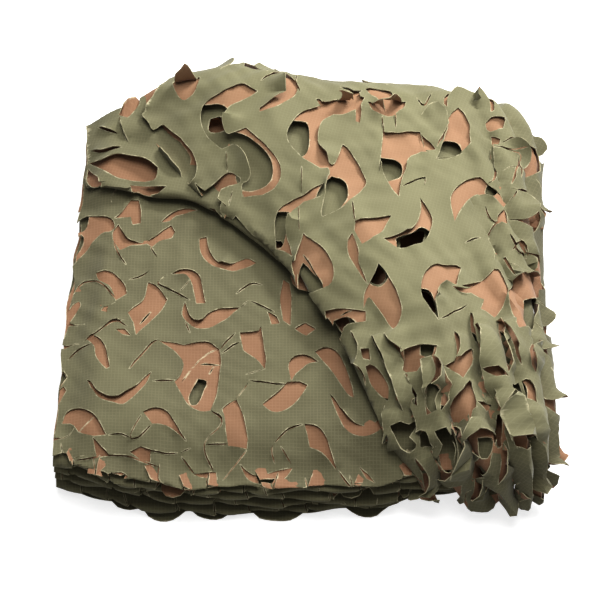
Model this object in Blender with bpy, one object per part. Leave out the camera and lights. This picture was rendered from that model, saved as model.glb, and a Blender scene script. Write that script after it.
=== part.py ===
"""Folded camouflage netting: one die-cut sheet, folded back and forth into a pad, its last four layers
turned over the pad as a thicker bundle that hangs over the right side and the front right corner.

Metres, +Z up, +X to the right, the pad's front edge towards -Y. The origin is on the ground, under the middle.
Layers count up from the ground. Fold f joins layer f to layer f + 1: even folds lie at the front, odd ones
at the back. Folds 0 and LAYERS are the sheet's two cut ends. A place on a layer is (p, q), its distance to
the right and to the back along the cloth, and equals (x, y) wherever the layer lies level.
"""

import math
import random

import bpy
import numpy as np
from mathutils import Vector
from mathutils.geometry import delaunay_2d_cdt

MM = 0.001
THICKNESS = 1.5 * MM  # the cloth with its frayed, slightly curled cut edges
PAD_LAYERS = 11
LAYERS = 15
# Heights from each pad layer to the next, the lowest first: the weight on top presses the upper ones closer.
PAD_PITCH = [pitch * MM for pitch in (7.6, 7.5, 7.4, 7.3, 7.1, 6.9, 6.7, 6.4, 5.4, 4.2)]
# Where each bundle layer lies between the pad's top, 0, and the bundle's top, 1.
BUNDLE_SHARE = {12: 0.16, 13: 0.48, 14: 0.83, 15: 1.0}

# Edges and folds as short rows of places (p, q) in millimetres, left to right, joined by a smooth curve.
PAD_FRONT = [(-227, -198), (-150, -219), (-50, -225), (60, -219), (120, -196), (192, -188)]
PAD_BACK = [(-212, 190), (-110, 208), (30, 196), (192, 160)]
LOWER_TURN = [
    (-203, 122), (-150, 103), (-96, 88), (-22, 14), (46, -86), (92, -186), (125, -216), (165, -232),
    (205, -232), (246, -200),
]
UPPER_TURN = [
    (-160, 192), (-108, 108), (-34, 27), (33, -80), (78, -180), (104, -236), (150, -272), (205, -276),
    (250, -256), (276, -222),
]
TURNED_EDGE = ((-160, 192), (78, -184))  # the straight line that the bundle's turned edge follows
BUNDLE_BACK = [(-192, 204), (-110, 219), (30, 207), (190, 174), (246, 162)]
TOP_END = [(-118, 280), (-60, 300), (40, 288), (140, 272), (210, 252), (270, 226)]
UNEVEN = 3.5 * MM  # how far a fold wanders from its row

# The bundle's rise over the pad, and the core over whose edges its layers hang.
RISE_AT_TURN = 17 * MM
RISE_INSIDE = 47 * MM
RISE_WIDTH = 105 * MM
HANG_RIGHT = 188 * MM
HANG_FRONT = -178 * MM
HANG_BACK = 192 * MM  # at p = 0, and the edge slants
HANG_BACK_SLANT = -0.14
HANG_RADIUS = 13 * MM  # of a layer's bend over the core's edge where it lies on the pad's top
HANG_ANGLE = math.radians(80)
LOWEST_HANG = 6 * MM

# Leaf cuts of the two layers that show. A cut is a crescent around a tongue: the tongue's middle (x, y), the
# turn of its tip from +X in degrees, its radius, the widest gap and the tip's lift, in millimetres.
PAD_CUTS = [
    # x, y, turn, radius, gap, lift
    (-154, 70, -88, 24, 17, 2), (-76, 56, -97, 26, 14, 0), (-112, 88, 116, 15, 9, 1),
    (-190, -18, 50, 17, 11, 3), (-117, -13, 57, 24, 12, 3), (-158, -48, -12, 20, 15, 1), (-84, -40, -89, 26, 11, 2),
    (-193, -86, -12, 14, 11, 2), (-118, -108, 0, 22, 24, 1), (-56, -86, 6, 17, 14, 1), (-170, -122, -87, 24, 10, 3),
    (-193, -182, 67, 16, 12, 2), (-131, -182, 75, 22, 10, 3), (-46, -168, 180, 20, 14, 1), (-14, -128, -40, 16, 12, 1),
    (30, -112, 50, 20, 12, 0), (52, -158, -99, 19, 10, 1), (4, -188, 12, 13, 9, 2), (-86, -196, -89, 12, 8, 2),
    (-36, -34, -70, 17, 10, 1), (-190, 124, 60, 12, 9, 1), (40, 30, -60, 24, 14, 0), (110, 80, -60, 24, 14, 0),
    (120, -40, -60, 24, 14, 0),
]
BUNDLE_CUTS = [
    # x, y, turn, radius, gap, lift
    (-58, 180, 169, 23, 17, 2), (-70, 114, -13, 19, 22, 3), (-12, 208, -53, 17, 9, 8), (-112, 150, 13, 12, 8, 2),
    (-116, 186, -167, 16, 9, 4), (-22, 42, 37, 12, 9, 2), (39, 157, 180, 21, 21, 5),
    (4, 100, -13, 22, 20, 4), (96, 112, 89, 20, 22, 3), (138, 166, 13, 18, 16, 6),
    (104, 42, 0, 18, 13, 4), (168, 58, 112, 22, 20, 5), (56, 20, 105, 20, 16, 4), (14, -20, 36, 17, 12, 3),
    (56, -58, 0, 20, 14, 5), (124, -124, 180, 13, 10, 5), (100, -164, 0, 12, 10, 6),
    (158, -84, -52, 22, 9, 8), (168, -167, 180, 16, 13, 8), (176, -34, 87, 17, 14, 5), (219, -70, -68, 16, 12, 8),
    (34, 214, 82, 17, 10, 6), (84, 196, 37, 15, 10, 6), (216, 72, 0, 17, 12, 8), (112, -46, 168, 12, 9, 5),
    (124, -216, -40, 15, 10, 6), (222, 6, -25, 17, 12, 8), (212, 132, 20, 16, 11, 8), (196, -226, -60, 15, 10, 5),
    (-60, 250, 90, 17, 10, 5), (56, 254, 80, 12, 8, 5), (150, 222, 70, 15, 9, 5), (246, -130, -30, 14, 10, 6),
    (-20, 156, 80, 12, 8, 2), (252, -36, -10, 10, 7, 6),
]
# The cuts of the layers that hide: their pitch across and along the cloth, their size, and the most in a layer.
HIDDEN_PITCH = (112 * MM, 104 * MM)
HIDDEN_RADIUS = 24 * MM
HIDDEN_GAP = 16 * MM
HIDDEN_MOST = 5
UNDER_SHOWN_MOST = 9  # in a layer that shows through the gaps of the one over it
CUT_HALF_ANGLE = math.radians(105)
CUT_APART = 3.5 * MM  # the least cloth between two cuts
CUT_FROM_EDGE = 5 * MM

# How finely the cloth is divided: steps between places on a layer, and along its folds and edges.
STEP_SHOWN = 36 * MM
STEP_HIDDEN = 70 * MM
PAD_FOLD_STEPS = 13
BUNDLE_FOLD_STEPS = 17
SIDE_STEPS = 8
FOLD_ROWS = (math.radians(32), math.radians(64))  # rows of places around a fold, from its outermost line
CLEAR_OF_CUT = 11 * MM
GREEN = (0.118, 0.124, 0.068)


def eased(t):
    """Rises smoothly from 0 to 1 as t goes from 0 to 1."""
    t = np.clip(t, 0.0, 1.0)
    return t * t * (3.0 - 2.0 * t)


def wander(along, seed):
    """A slow wave along an edge, between about -1 and 1."""
    rng = random.Random(seed)
    waves = [(rng.uniform(9, 16), rng.uniform(0, 6.3)), (rng.uniform(24, 36), rng.uniform(0, 6.3))]
    return 0.65 * np.sin(waves[0][0] * along + waves[0][1]) + 0.35 * np.sin(waves[1][0] * along + waves[1][1])


def smooth_row(row, count):
    """Places along a smooth curve through a row, evenly spaced by the row's own length."""
    pts = np.array(row, float) * MM
    run = np.concatenate([[0.0], np.cumsum(np.linalg.norm(np.diff(pts, axis=0), axis=1))])
    padded = np.vstack([2 * pts[0] - pts[1], pts, 2 * pts[-1] - pts[-2]])
    out = []
    for at in np.linspace(0.0, run[-1], count):
        i = min(int(np.searchsorted(run, at, side="right")) - 1, len(pts) - 2)
        t = (at - run[i]) / (run[i + 1] - run[i])
        a, b, c, d = padded[i : i + 4]
        out.append(0.5 * (2 * b + (c - a) * t + (2 * a - 5 * b + 4 * c - d) * t**2 + (3 * b - a - 3 * c + d) * t**3))
    return np.array(out)


def fold_line(f):
    """Fold f as places (p, q), left to right."""
    if f <= PAD_LAYERS:
        row = PAD_BACK if f % 2 else PAD_FRONT
    else:
        row = {12: LOWER_TURN, 13: BUNDLE_BACK, 14: UPPER_TURN, 15: TOP_END}[f]
    line = smooth_row(row, BUNDLE_FOLD_STEPS if f > PAD_LAYERS else PAD_FOLD_STEPS)
    line[:, 1] += UNEVEN * wander(line[:, 0], 40 + f)
    return line


def past_turn(p, q):
    """How far a place lies inside the bundle from its slanting turned edge."""
    start, end = np.array(TURNED_EDGE) * MM
    along = (end - start) / np.linalg.norm(end - start)
    return -((p - start[0]) * along[1] - (q - start[1]) * along[0])


def pad_height(k, p, q):
    """The middle of pad layer k above the ground: level at the bottom, gently rolling towards the top."""
    base = THICKNESS / 2 + sum(PAD_PITCH[: k - 1])
    share = (k - 1) / (PAD_LAYERS - 1)
    roll = 0.035 * np.sin(17 * p + 9 * q + 0.6) + 0.03 * np.sin(13 * q - 8 * p + 2.0)
    edge = 0.16 * eased((-185 * MM - p) / (36 * MM)) + 0.06 * eased((-185 * MM - q) / (36 * MM))
    own = 0.35 * MM * share * np.sin(31 * p + 27 * q + 2.1 * k)
    return THICKNESS / 2 + (base - THICKNESS / 2) * (1.02 + roll - edge) + own


def bundle_rise(p, q):
    """The bundle's top above the pad's top."""
    rise = RISE_AT_TURN + (RISE_INSIDE - RISE_AT_TURN) * eased(past_turn(p, q) / RISE_WIDTH)
    rise = rise - 14 * MM * eased((p - 110 * MM) / (80 * MM)) - 9 * MM * eased((-110 * MM - q) / (80 * MM))
    return rise + 2.5 * MM * np.sin(25 * p - 14 * q) + 2 * MM * np.sin(19 * q + 21 * p + 1.0)


def surface(k, p, q):
    """The middle of layer k at places (p, q), before its folds are turned over."""
    p, q = np.asarray(p, float), np.asarray(q, float)
    if k <= PAD_LAYERS:
        return np.stack([p, q, pad_height(k, p, q)], axis=-1)
    over_x = np.maximum(p - HANG_RIGHT, 0.0)
    over_front = np.maximum(HANG_FRONT - q, 0.0)
    over_back = np.maximum(q - HANG_BACK - HANG_BACK_SLANT * p, 0.0) if k == LAYERS else np.zeros_like(q)
    over_y = over_front + over_back
    out = np.hypot(over_x, over_y)
    level_p, level_q = p - over_x, q + over_front - over_back
    top = pad_height(PAD_LAYERS, level_p, level_q)
    lift = bundle_rise(level_p, level_q) * BUNDLE_SHARE[k]
    radius = HANG_RADIUS + lift
    bend = np.minimum(out / radius, HANG_ANGLE)
    rest = np.maximum(out - radius * HANG_ANGLE, 0.0)
    sideways = radius * np.sin(bend) + rest * math.cos(HANG_ANGLE)
    drop = radius * (1 - np.cos(bend)) + rest * math.sin(HANG_ANGLE)
    safe = np.maximum(out, 1e-9)
    x = level_p + sideways * over_x / safe
    y = level_q - sideways * (over_front - over_back) / safe
    z = top + lift - drop
    near = z - 2 * LOWEST_HANG
    z = np.where(near < 0, LOWEST_HANG * (1 + np.exp(near / LOWEST_HANG)), z)
    return np.stack([x, y, z], axis=-1)


def along_fold(f, p):
    """Where fold f lies at p, and its slope there."""
    line = fold_line(f)
    step = 1 * MM
    at = np.interp(p, line[:, 0], line[:, 1])
    ahead, behind = (np.interp(p + side, line[:, 0], line[:, 1]) for side in (step, -step))
    return at, np.clip((ahead - behind) / (2 * step), -1.8, 1.8)


def folded(k, p, q):
    """The middle of layer k with half of each of its two folds, each a half circle shared with its neighbour."""
    p, q = np.asarray(p, float), np.asarray(q, float)
    place = surface(k, p, q)
    for f, other in ((k - 1, k - 1), (k, k + 1)):
        if not 1 <= other <= LAYERS:
            continue
        inward = -1.0 if f % 2 else 1.0
        at, slope = along_fold(f, p)
        steep = 1.0 / np.sqrt(1.0 + slope**2)
        away = np.maximum((q - at) * inward * steep, 0.0)
        gap = surface(other, p, q) - surface(k, p, q)
        gap_at_fold = surface(other, p, at) - surface(k, p, at)
        radius = np.linalg.norm(gap_at_fold, axis=-1) / 2
        quarter = radius * math.pi / 2
        turn = np.clip(math.pi / 2 - away / radius, 0.0, math.pi / 2)
        step = 1 * MM
        ahead = surface(k, p - inward * slope * steep * step, q + inward * steep * step) - surface(k, p, q)
        ahead /= np.maximum(np.linalg.norm(ahead, axis=-1, keepdims=True), 1e-12)
        inside = away - quarter
        past = (1 - math.pi / 2) * radius * np.exp(-np.maximum(inside, 0.0) / (40 * MM))
        pull = np.where(inside < 0, radius * (1 - np.sin(turn)) - away, past)
        place = place + gap / 2 * (1 - np.cos(turn))[..., None] + ahead * pull[..., None]
    return place


def crescent(x, y, turn, radius, gap, points=5):
    """The outline of one leaf cut: the tongue's arc, and the arc that the stretched cloth has drawn away from it."""
    angles = np.linspace(-CUT_HALF_ANGLE, CUT_HALF_ANGLE, points)
    inner = np.full(points, radius)
    outer = radius + gap * np.cos(angles * (math.pi / 2) / CUT_HALF_ANGLE)
    angles = angles + math.radians(turn)
    tongue = np.stack([x + inner * np.cos(angles), y + inner * np.sin(angles)], axis=-1)
    drawn = np.stack([x + outer * np.cos(angles), y + outer * np.sin(angles)], axis=-1)
    return np.vstack([tongue, drawn[-2:0:-1]])


def inside(points, ring):
    """Which points lie in a ring."""
    x, y = points[:, 0][:, None], points[:, 1][:, None]
    a, b = ring, np.roll(ring, -1, axis=0)
    crosses = (a[:, 1] > y) != (b[:, 1] > y)
    rise = np.where(b[:, 1] == a[:, 1], 1e-12, b[:, 1] - a[:, 1])
    return (crosses & (x < (b[:, 0] - a[:, 0]) * (y - a[:, 1]) / rise + a[:, 0])).sum(axis=1) % 2 == 1


def distance(points, ring):
    """How far points lie from a ring's line."""
    a, b = ring, np.roll(ring, -1, axis=0)
    along = b - a
    t = np.einsum("ijk,jk->ij", points[:, None] - a[None], along) / np.maximum((along**2).sum(axis=1), 1e-18)
    near = a[None] + np.clip(t, 0, 1)[..., None] * along[None]
    return np.linalg.norm(points[:, None] - near, axis=-1).min(axis=1)


def sampled(ring):
    """Places along a ring, a quarter of each side apart."""
    after = np.roll(ring, -1, axis=0)
    return np.vstack([ring + (after - ring) * share for share in (0.0, 0.25, 0.5, 0.75)])


def folds_of(k):
    """The numbers of layer k's front and back folds."""
    return (k, k - 1) if k % 2 == 0 else (k - 1, k)


def outline(k):
    """The layer's outline as one ring of places: its front fold, right edge, back fold and left edge."""
    front, back = (fold_line(f) for f in folds_of(k))
    rng = random.Random(700 + k)

    def side(start, end):
        steps = np.linspace(0, 1, SIDE_STEPS + 1)[1:-1]
        pts = start[None] + (end - start)[None] * steps[:, None]
        pts[:, 0] += [rng.uniform(-3, 3) * MM for _ in steps]
        return pts

    return np.vstack([front, side(front[-1], back[-1]), back[::-1], side(back[0], front[0])])


def cuts_of(k, ring):
    """The layer's leaf cuts that lie clear of its edges and of each other, as (row, outline)."""
    if k == LAYERS:
        rows = BUNDLE_CUTS
    elif k == PAD_LAYERS:
        rows = PAD_CUTS
    else:
        rng = random.Random(90 + k)
        most = UNDER_SHOWN_MOST if k in (PAD_LAYERS - 1, LAYERS - 1) else HIDDEN_MOST
        rows = []
        for i in range(-2, 3):
            for j in range(-2, 3):
                x = (i + 0.5 * (j % 2)) * HIDDEN_PITCH[0] / MM + rng.uniform(-9, 9)
                y = j * HIDDEN_PITCH[1] / MM * 0.8 + rng.uniform(-9, 9)
                rows.append((x, y, rng.uniform(-180, 180), HIDDEN_RADIUS / MM, HIDDEN_GAP / MM, 0))
        rng.shuffle(rows)
        if k == 1:
            rows = [row for row in rows if math.hypot(row[0], row[1]) > 70]
    kept = []
    for row in rows:
        x, y, turn, radius, gap, _ = row
        hole = crescent(x * MM, y * MM, turn, radius * MM, gap * MM)
        if not inside(hole, ring).all() or distance(hole, ring).min() < CUT_FROM_EDGE:
            continue
        if any(distance(sampled(hole), other).min() < CUT_APART or inside(hole, other).any() for _, other in kept):
            continue
        kept.append((row, hole))
    return kept if k in (PAD_LAYERS, LAYERS) else kept[:most]


def layer(k):
    """Layer k as triangles and folded points, its outline's first."""
    ring = outline(k)
    cuts = cuts_of(k, ring)
    step = STEP_SHOWN if k in (PAD_LAYERS, LAYERS) else STEP_HIDDEN
    rows = []
    low, high = ring.min(axis=0), ring.max(axis=0)
    for j, q in enumerate(np.arange(low[1], high[1], step * 0.866)):
        for p in np.arange(low[0] + (step / 2 if j % 2 else 0), high[0], step):
            rows.append((p, q))
    grid = np.array(rows)
    keep = inside(grid, ring) & (distance(grid, ring) > (0.45 * step))
    for _, hole in cuts:
        keep &= ~inside(grid, hole) & (distance(grid, hole) > CLEAR_OF_CUT)
    turned = []
    for f, sign in zip(folds_of(k), (1.0, -1.0)):
        if 0 < f < LAYERS:
            line = fold_line(f)[1:-1]
            at, slope = along_fold(f, line[:, 0])
            gap = surface(f + 1, line[:, 0], line[:, 1]) - surface(f, line[:, 0], line[:, 1])
            for angle in FOLD_ROWS:
                reach = np.linalg.norm(gap, axis=-1) / 2 * angle * np.sqrt(1 + slope**2)
                turned.append(np.stack([line[:, 0], line[:, 1] + sign * reach], axis=-1))
    turned = np.vstack(turned)
    for _, hole in cuts:
        turned = turned[~inside(turned, hole) & (distance(turned, hole) > 2 * MM)]
    turned = turned[inside(turned, ring) & (distance(turned, ring) > 1.2 * MM)]
    flat = [ring] + [hole for _, hole in cuts] + [turned, grid[keep]]
    edges, start = [], 0
    for loop in flat[: 1 + len(cuts)]:
        edges += [(start + i, start + (i + 1) % len(loop)) for i in range(len(loop))]
        start += len(loop)
    flat = np.vstack(flat)
    _, _, faces, origin, _, _ = delaunay_2d_cdt([Vector(v / MM) for v in flat], edges, [], 0, 1e-5)
    triangles = np.array([[origin[v][0] for v in face] for face in faces])
    middle = flat[triangles].mean(axis=1)
    keep = inside(middle, ring)
    for _, hole in cuts:
        keep &= ~inside(middle, hole)
    triangles = triangles[keep]
    points = folded(k, flat[:, 0], flat[:, 1])
    for (x, y, turn, radius, gap, lift), _ in cuts:
        away = flat - np.array((x, y)) * MM
        tip = np.array((math.cos(math.radians(turn)), math.sin(math.radians(turn))))
        on_tongue = np.linalg.norm(away, axis=1) < (radius + 0.01) * MM
        raised = on_tongue * np.clip((away @ tip) / (radius * MM), 0, 1) ** 1.5 * lift * MM
        points[:, 2] += raised
    return triangles, points


def netting():
    """The whole sheet as one closed solid: its middle surface, offset to both sides and joined at every cut edge."""
    points, triangles, seams = [], [], {}
    for k in range(1, LAYERS + 1):
        local, places = layer(k)
        front, back = folds_of(k)
        n_front, n_back = len(fold_line(front)), len(fold_line(back))
        start_back = n_front + SIDE_STEPS - 1
        ends = {front: np.arange(n_front), back: np.arange(start_back, start_back + n_back)[::-1]}
        index = np.full(len(places), -1)
        for f, rows in ends.items():
            if f in seams:
                index[rows] = seams[f]
        fresh = np.flatnonzero(index < 0)
        index[fresh] = len(points) + np.arange(len(fresh))
        points += list(places[fresh])
        for f, rows in ends.items():
            seams[f] = index[rows]
        triangles.append(index[local if k % 2 else local[:, ::-1]])
    points, triangles = np.array(points), np.vstack(triangles)
    a, b, c = (points[triangles[:, i]] for i in range(3))
    face_normal = np.cross(b - a, c - a)
    normal = np.zeros_like(points)
    for i in range(3):
        np.add.at(normal, triangles[:, i], face_normal)
    normal /= np.linalg.norm(normal, axis=1, keepdims=True)
    count = len(points)
    edges = {}
    for triangle in triangles:
        for i in range(3):
            edge = (int(triangle[i]), int(triangle[(i + 1) % 3]))
            edges[edge] = edges.get(edge, 0) + 1
    rim = [edge for edge in edges if (edge[1], edge[0]) not in edges]
    verts = np.vstack([points + normal * THICKNESS / 2, points - normal * THICKNESS / 2])
    verts[:, :2] -= (verts[:, :2].min(axis=0) + verts[:, :2].max(axis=0)) / 2
    faces = [tuple(int(v) for v in t) for t in triangles]
    faces += [tuple(int(v) + count for v in t[::-1]) for t in triangles]
    for a, b in rim:
        faces += [(b, a, a + count), (b, a + count, b + count)]
    mesh = bpy.data.meshes.new("camouflage_net")
    mesh.from_pydata([tuple(v) for v in verts], [], faces)
    mesh.validate()
    mesh.shade_smooth()
    return mesh


def cloth_material():
    material = bpy.data.materials.new("coated_ripstop_cloth")
    material.use_nodes = True
    shader = material.node_tree.nodes["Principled BSDF"]
    shader.inputs["Base Color"].default_value = (*GREEN, 1.0)
    shader.inputs["Roughness"].default_value = 0.82
    shader.inputs["Metallic"].default_value = 0.0
    return material


for old in list(bpy.data.objects):
    bpy.data.objects.remove(old, do_unlink=True)
net = bpy.data.objects.new("camouflage_net", netting())
net.data.materials.append(cloth_material())
bpy.context.scene.collection.objects.link(net)
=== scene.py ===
"""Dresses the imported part: a camouflage net, folded into a pad with a thicker bundle turned over it.

Every shape is worked out in millimetres, x to the right, y to the back and z up, and becomes metres in its
mesh.
"""

import math
import random
from itertools import chain

import bpy
import numpy as np
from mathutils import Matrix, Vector
from mathutils.geometry import delaunay_2d_cdt


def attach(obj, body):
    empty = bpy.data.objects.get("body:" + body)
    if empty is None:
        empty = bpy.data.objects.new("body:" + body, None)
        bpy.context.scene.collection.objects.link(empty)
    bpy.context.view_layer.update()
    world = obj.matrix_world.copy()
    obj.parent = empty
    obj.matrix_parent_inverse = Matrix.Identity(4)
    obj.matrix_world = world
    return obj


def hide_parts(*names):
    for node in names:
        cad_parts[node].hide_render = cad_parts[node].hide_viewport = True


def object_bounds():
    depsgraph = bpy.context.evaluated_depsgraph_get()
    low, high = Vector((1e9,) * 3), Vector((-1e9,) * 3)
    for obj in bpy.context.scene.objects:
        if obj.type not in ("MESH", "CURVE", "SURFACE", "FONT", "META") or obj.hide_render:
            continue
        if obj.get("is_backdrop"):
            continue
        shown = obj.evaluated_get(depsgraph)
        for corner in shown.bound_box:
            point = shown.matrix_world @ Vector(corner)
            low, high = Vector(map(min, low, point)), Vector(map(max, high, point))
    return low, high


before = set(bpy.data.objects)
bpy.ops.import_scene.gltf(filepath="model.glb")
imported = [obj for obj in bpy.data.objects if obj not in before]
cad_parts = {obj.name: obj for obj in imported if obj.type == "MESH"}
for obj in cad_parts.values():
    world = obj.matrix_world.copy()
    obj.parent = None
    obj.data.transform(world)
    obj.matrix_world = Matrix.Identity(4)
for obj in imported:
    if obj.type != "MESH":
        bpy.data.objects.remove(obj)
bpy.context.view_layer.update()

# ------------------------------------------------------------------------------------------------------------
# The net's folds. The net is one long sheet of coated ripstop cloth, folded back and forth by hand: eleven
# layers lie as a flat pad, and the last four are turned over it as a bundle that hangs over the right side
# and the front right corner.

# Layer k runs from fold k - 1 to fold k: even folds lie at the front, odd ones at the back, and folds 0 and
# 15 are cut ends. A place on a layer is (p, q), its distance to the right and to the back along the cloth.

MM = 0.001
CLOTH = 0.8  # thickness of the coated cloth with its fine fray
PAD_LAYERS = 11
LAYERS = 15
PITCHES = (7.6, 7.5, 7.4, 7.3, 7.1, 6.9, 6.8, 6.8, 6.4, 2.8)  # from each pad layer to the next
TOP_PRESSED = 1.5  # how much closer the pad's top layer lies to the one under it
SHARES = {12: 0.3, 13: 0.74, 14: 0.945, 15: 1.0}  # where each bundle layer lies in the bundle's height
MIDDLE = (5.777, 17.019)  # the place (x, y) over the frame's origin

# Each fold and cut end as a short row of places, left to right. The two turns lie at the slanted edge.
PAD_FRONT = [(-227, -198), (-150, -219), (-50, -225), (60, -222), (120, -208), (192, -196)]
PAD_BACK = [(-214, 194), (-165, 206), (-110, 212), (30, 198), (192, 160)]
LOWER_TURN = [
    (-211, 119), (-150, 103), (-96, 88), (-22, 14), (46, -86), (92, -186), (125, -216), (165, -232),
    (205, -232), (246, -200),
]
UPPER_TURN = [
    (-160, 192), (-108, 108), (-34, 27), (33, -80), (78, -180), (104, -236), (150, -272), (205, -276),
    (250, -256), (276, -222),
]
TURNED_EDGE = ((-160, 192), (78, -184))  # the straight line that the upper turn follows
BUNDLE_BACK = [(-216, 197), (-172, 216), (-110, 242), (30, 236), (190, 205), (246, 186)]
TOP_END = [(-118, 280), (-60, 300), (40, 288), (140, 272), (210, 252), (270, 226)]
UNEVEN = 3.5  # how far a fold wanders from its row
FRONT_JAGS = 1.6  # the height of the jags in the pad's front folds
LOWEST_LEAVES = [(-163, 12), (-128, 18), (-84, 15), (-22, 21), (62, 16)]  # place and radius
LOWEST_LEAF_OUT = 0.55  # the share of its radius by which such a leaf stands out
LOWEST_END = 5  # how much further back the lowest cut end lies

# The bundle's height over the pad, and the core that its layers bend over and hang from.
RISE_AT_TURN = 18
EDGE_ROLL = 0.4  # how much lower layer 14 lies at the turned edge, so that the edge is a soft roll
RISE_INSIDE = 47
RISE_WIDTH = 105
HANG_RIGHT = 188
HANG_FRONT = -178
HANG_BACK = 199  # at p = 0, from where the edge slants
HANG_BACK_SLANT = -0.14
HANG_RADIUS = 13
HANG_ANGLE = math.radians(80)
LOWEST_HANG = 6
LOWEST, GIVE_BELOW = 3.4, 3  # where cloth is pressed back, and how far past it a point can still go
HIGHEST, GIVE_ABOVE = 130, 8

# The pleats that the hanging cloth stands in, on the right side and at the front right corner. They run to
# the front and slightly to the right, with round ridges and sharp troughs.
PLEAT_RIGHT, PLEAT_FRONT = 6.0, 9.0
PLEAT_WIDTH = 33
PLEAT_LEAN = 0.3

# Soft creases of the layers that show: from (x, y) to (x, y), how high, and how wide. The
# corner's are for the two layers under the bundle's top, which show at the back left.
PAD_CREASES = [
    (-205, 96, -60, 60, 1.3, 9), (-210, 10, -120, 34, 1.1, 6), (-120, 34, -10, 40, -1.0, 7),
    (-205, -60, -60, -72, 1.0, 6), (-60, -72, 30, -60, -0.9, 6), (-200, -140, -110, -160, 1.2, 6),
    (-110, -160, 60, -140, -1.0, 8), (-20, -200, 90, -170, 1.2, 6), (-160, 100, -100, 20, 0.8, 5),
    (-60, -10, 0, -60, 1.0, 6), (20, -90, 70, -120, 1.2, 6), (-140, -60, -90, -130, -0.9, 5),
]
BUNDLE_CREASES = [
    (-120, 200, -60, 60, 1.8, 9), (-40, 250, -20, 130, 1.4, 8), (20, 270, 30, 120, -1.5, 8),
    (-10, 60, 60, -60, 2.0, 9), (70, 230, 80, 90, 1.6, 8), (120, 230, 120, 60, -1.8, 9),
    (40, 20, 90, -120, -1.8, 8), (150, 120, 150, -60, 2.2, 9), (110, 0, 150, -150, 2.0, 9),
    (180, 160, 186, 0, -2.0, 8), (90, -60, 120, -170, -2.2, 8), (-60, 140, 0, 70, 1.2, 6),
]
CORNER_CREASES = [
    (-205, 150, -125, 118, 4, 7), (-205, 178, -120, 146, -3, 7), (-200, 128, -125, 98, -3, 6),
    (-196, 200, -130, 168, 4, 7), (-190, 110, -110, 84, 3, 6),
]
WRINKLES = 1.9  # the height of the fine wrinkles


def eased(t):
    """Rises smoothly from 0 to 1 as t goes from 0 to 1: three t squared less two t cubed."""
    t = np.clip(t, 0.0, 1.0)
    return t * t * (3.0 - 2.0 * t)


def curve(row, count):
    """Places, evenly apart, on a smooth (Catmull-Rom) curve through a row of places."""
    pts = np.array(row, float)
    run = np.concatenate([[0.0], np.cumsum(np.linalg.norm(np.diff(pts, axis=0), axis=1))])
    padded = np.vstack([2 * pts[0] - pts[1], pts, 2 * pts[-1] - pts[-2]])
    at = np.linspace(0.0, run[-1], count)
    i = np.clip(np.searchsorted(run, at, side="right") - 1, 0, len(pts) - 2)
    t = ((at - run[i]) / (run[i + 1] - run[i]))[:, None]
    a, b, c, d = (padded[i + j] for j in range(4))
    return 0.5 * (2 * b + (c - a) * t + (2 * a - 5 * b + 4 * c - d) * t**2 + (3 * b - a - 3 * c + d) * t**3)


def fold_line(f):
    """Fold f as places, left to right: the curve through its row, which wanders by two waves, and by a third
    in the pad. The pad's front folds have triangular jags, and the lowest cut end has round leaves."""
    if f <= PAD_LAYERS:
        row = PAD_BACK if f % 2 else PAD_FRONT
    else:
        row = {12: LOWER_TURN, 13: BUNDLE_BACK, 14: UPPER_TURN, 15: TOP_END}[f]
    line = curve(row, 400)
    rng = random.Random(40 + f)
    waves = [(rng.uniform(*rates), rng.uniform(0, 6.3)) for rates in ((9, 16), (24, 36), (60, 95))]
    swing = [np.sin(rate * MM * line[:, 0] + start) for rate, start in waves]
    line[:, 1] += UNEVEN * (0.65 * swing[0] + 0.35 * swing[1] + (0.6 * swing[2] if f <= PAD_LAYERS else 0))
    if 0 < f < PAD_LAYERS and f % 2 == 0:
        jags = line[:, 0] / rng.uniform(17, 26) + rng.uniform(0, 2)
        line[:, 1] += FRONT_JAGS * np.abs(jags % 2 - 1) - FRONT_JAGS / 2
    if f == 0:
        line[:, 1] += LOWEST_END
    for x, radius in LOWEST_LEAVES if f == 0 else []:
        line[:, 1] -= LOWEST_LEAF_OUT * np.sqrt(np.maximum(radius**2 - (line[:, 0] - x) ** 2, 0))
    return line


FOLD_LINES = [fold_line(f) for f in range(LAYERS + 1)]


def fold_at(f, p):
    """How far back fold f lies at p."""
    return np.interp(p, FOLD_LINES[f][:, 0], FOLD_LINES[f][:, 1])


def folds_of(k):
    """The numbers of layer k's front and back folds."""
    return (k, k - 1) if k % 2 == 0 else (k - 1, k)


def pad_height(k, p, q):
    """The middle of pad layer k above the floor: the layers' pitches, swollen and pressed by slow waves,
    pressed down towards the left and front edges, and jolted by short waves near the front and the back."""
    base = sum(PITCHES[: k - 1])
    share = (k - 1) / (PAD_LAYERS - 1)
    roll = 0.035 * np.sin(0.017 * p + 0.009 * q + 0.6) + 0.03 * np.sin(0.013 * q - 0.008 * p + 2.0)
    edge = 0.16 * eased((-185 - p) / 36) + 0.26 * eased((-160 - q) / 60) * eased((p + 235) / 80)
    own = 0.35 * share * np.sin(0.031 * p + 0.027 * q + 2.1 * k)
    turn = min(k, PAD_LAYERS - 1)
    jolt = np.sin(0.06 * p + 2.3 * turn) + 0.7 * np.sin(0.15 * p + 1.1 * turn + 0.04 * q)
    own = own + min(1, 0.25 * (k - 1)) * eased((np.abs(q) - 155) / 45) * jolt * 0.85
    return CLOTH / 2 + base * (1.02 + roll - edge) + own - (TOP_PRESSED if k == PAD_LAYERS else 0)


def past_turn(p, q):
    """How far places lie inside the line of the bundle's turned edge."""
    start, end = np.array(TURNED_EDGE, float)
    along = (end - start) / np.linalg.norm(end - start)
    return (q - start[1]) * along[0] - (p - start[0]) * along[1]


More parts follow.
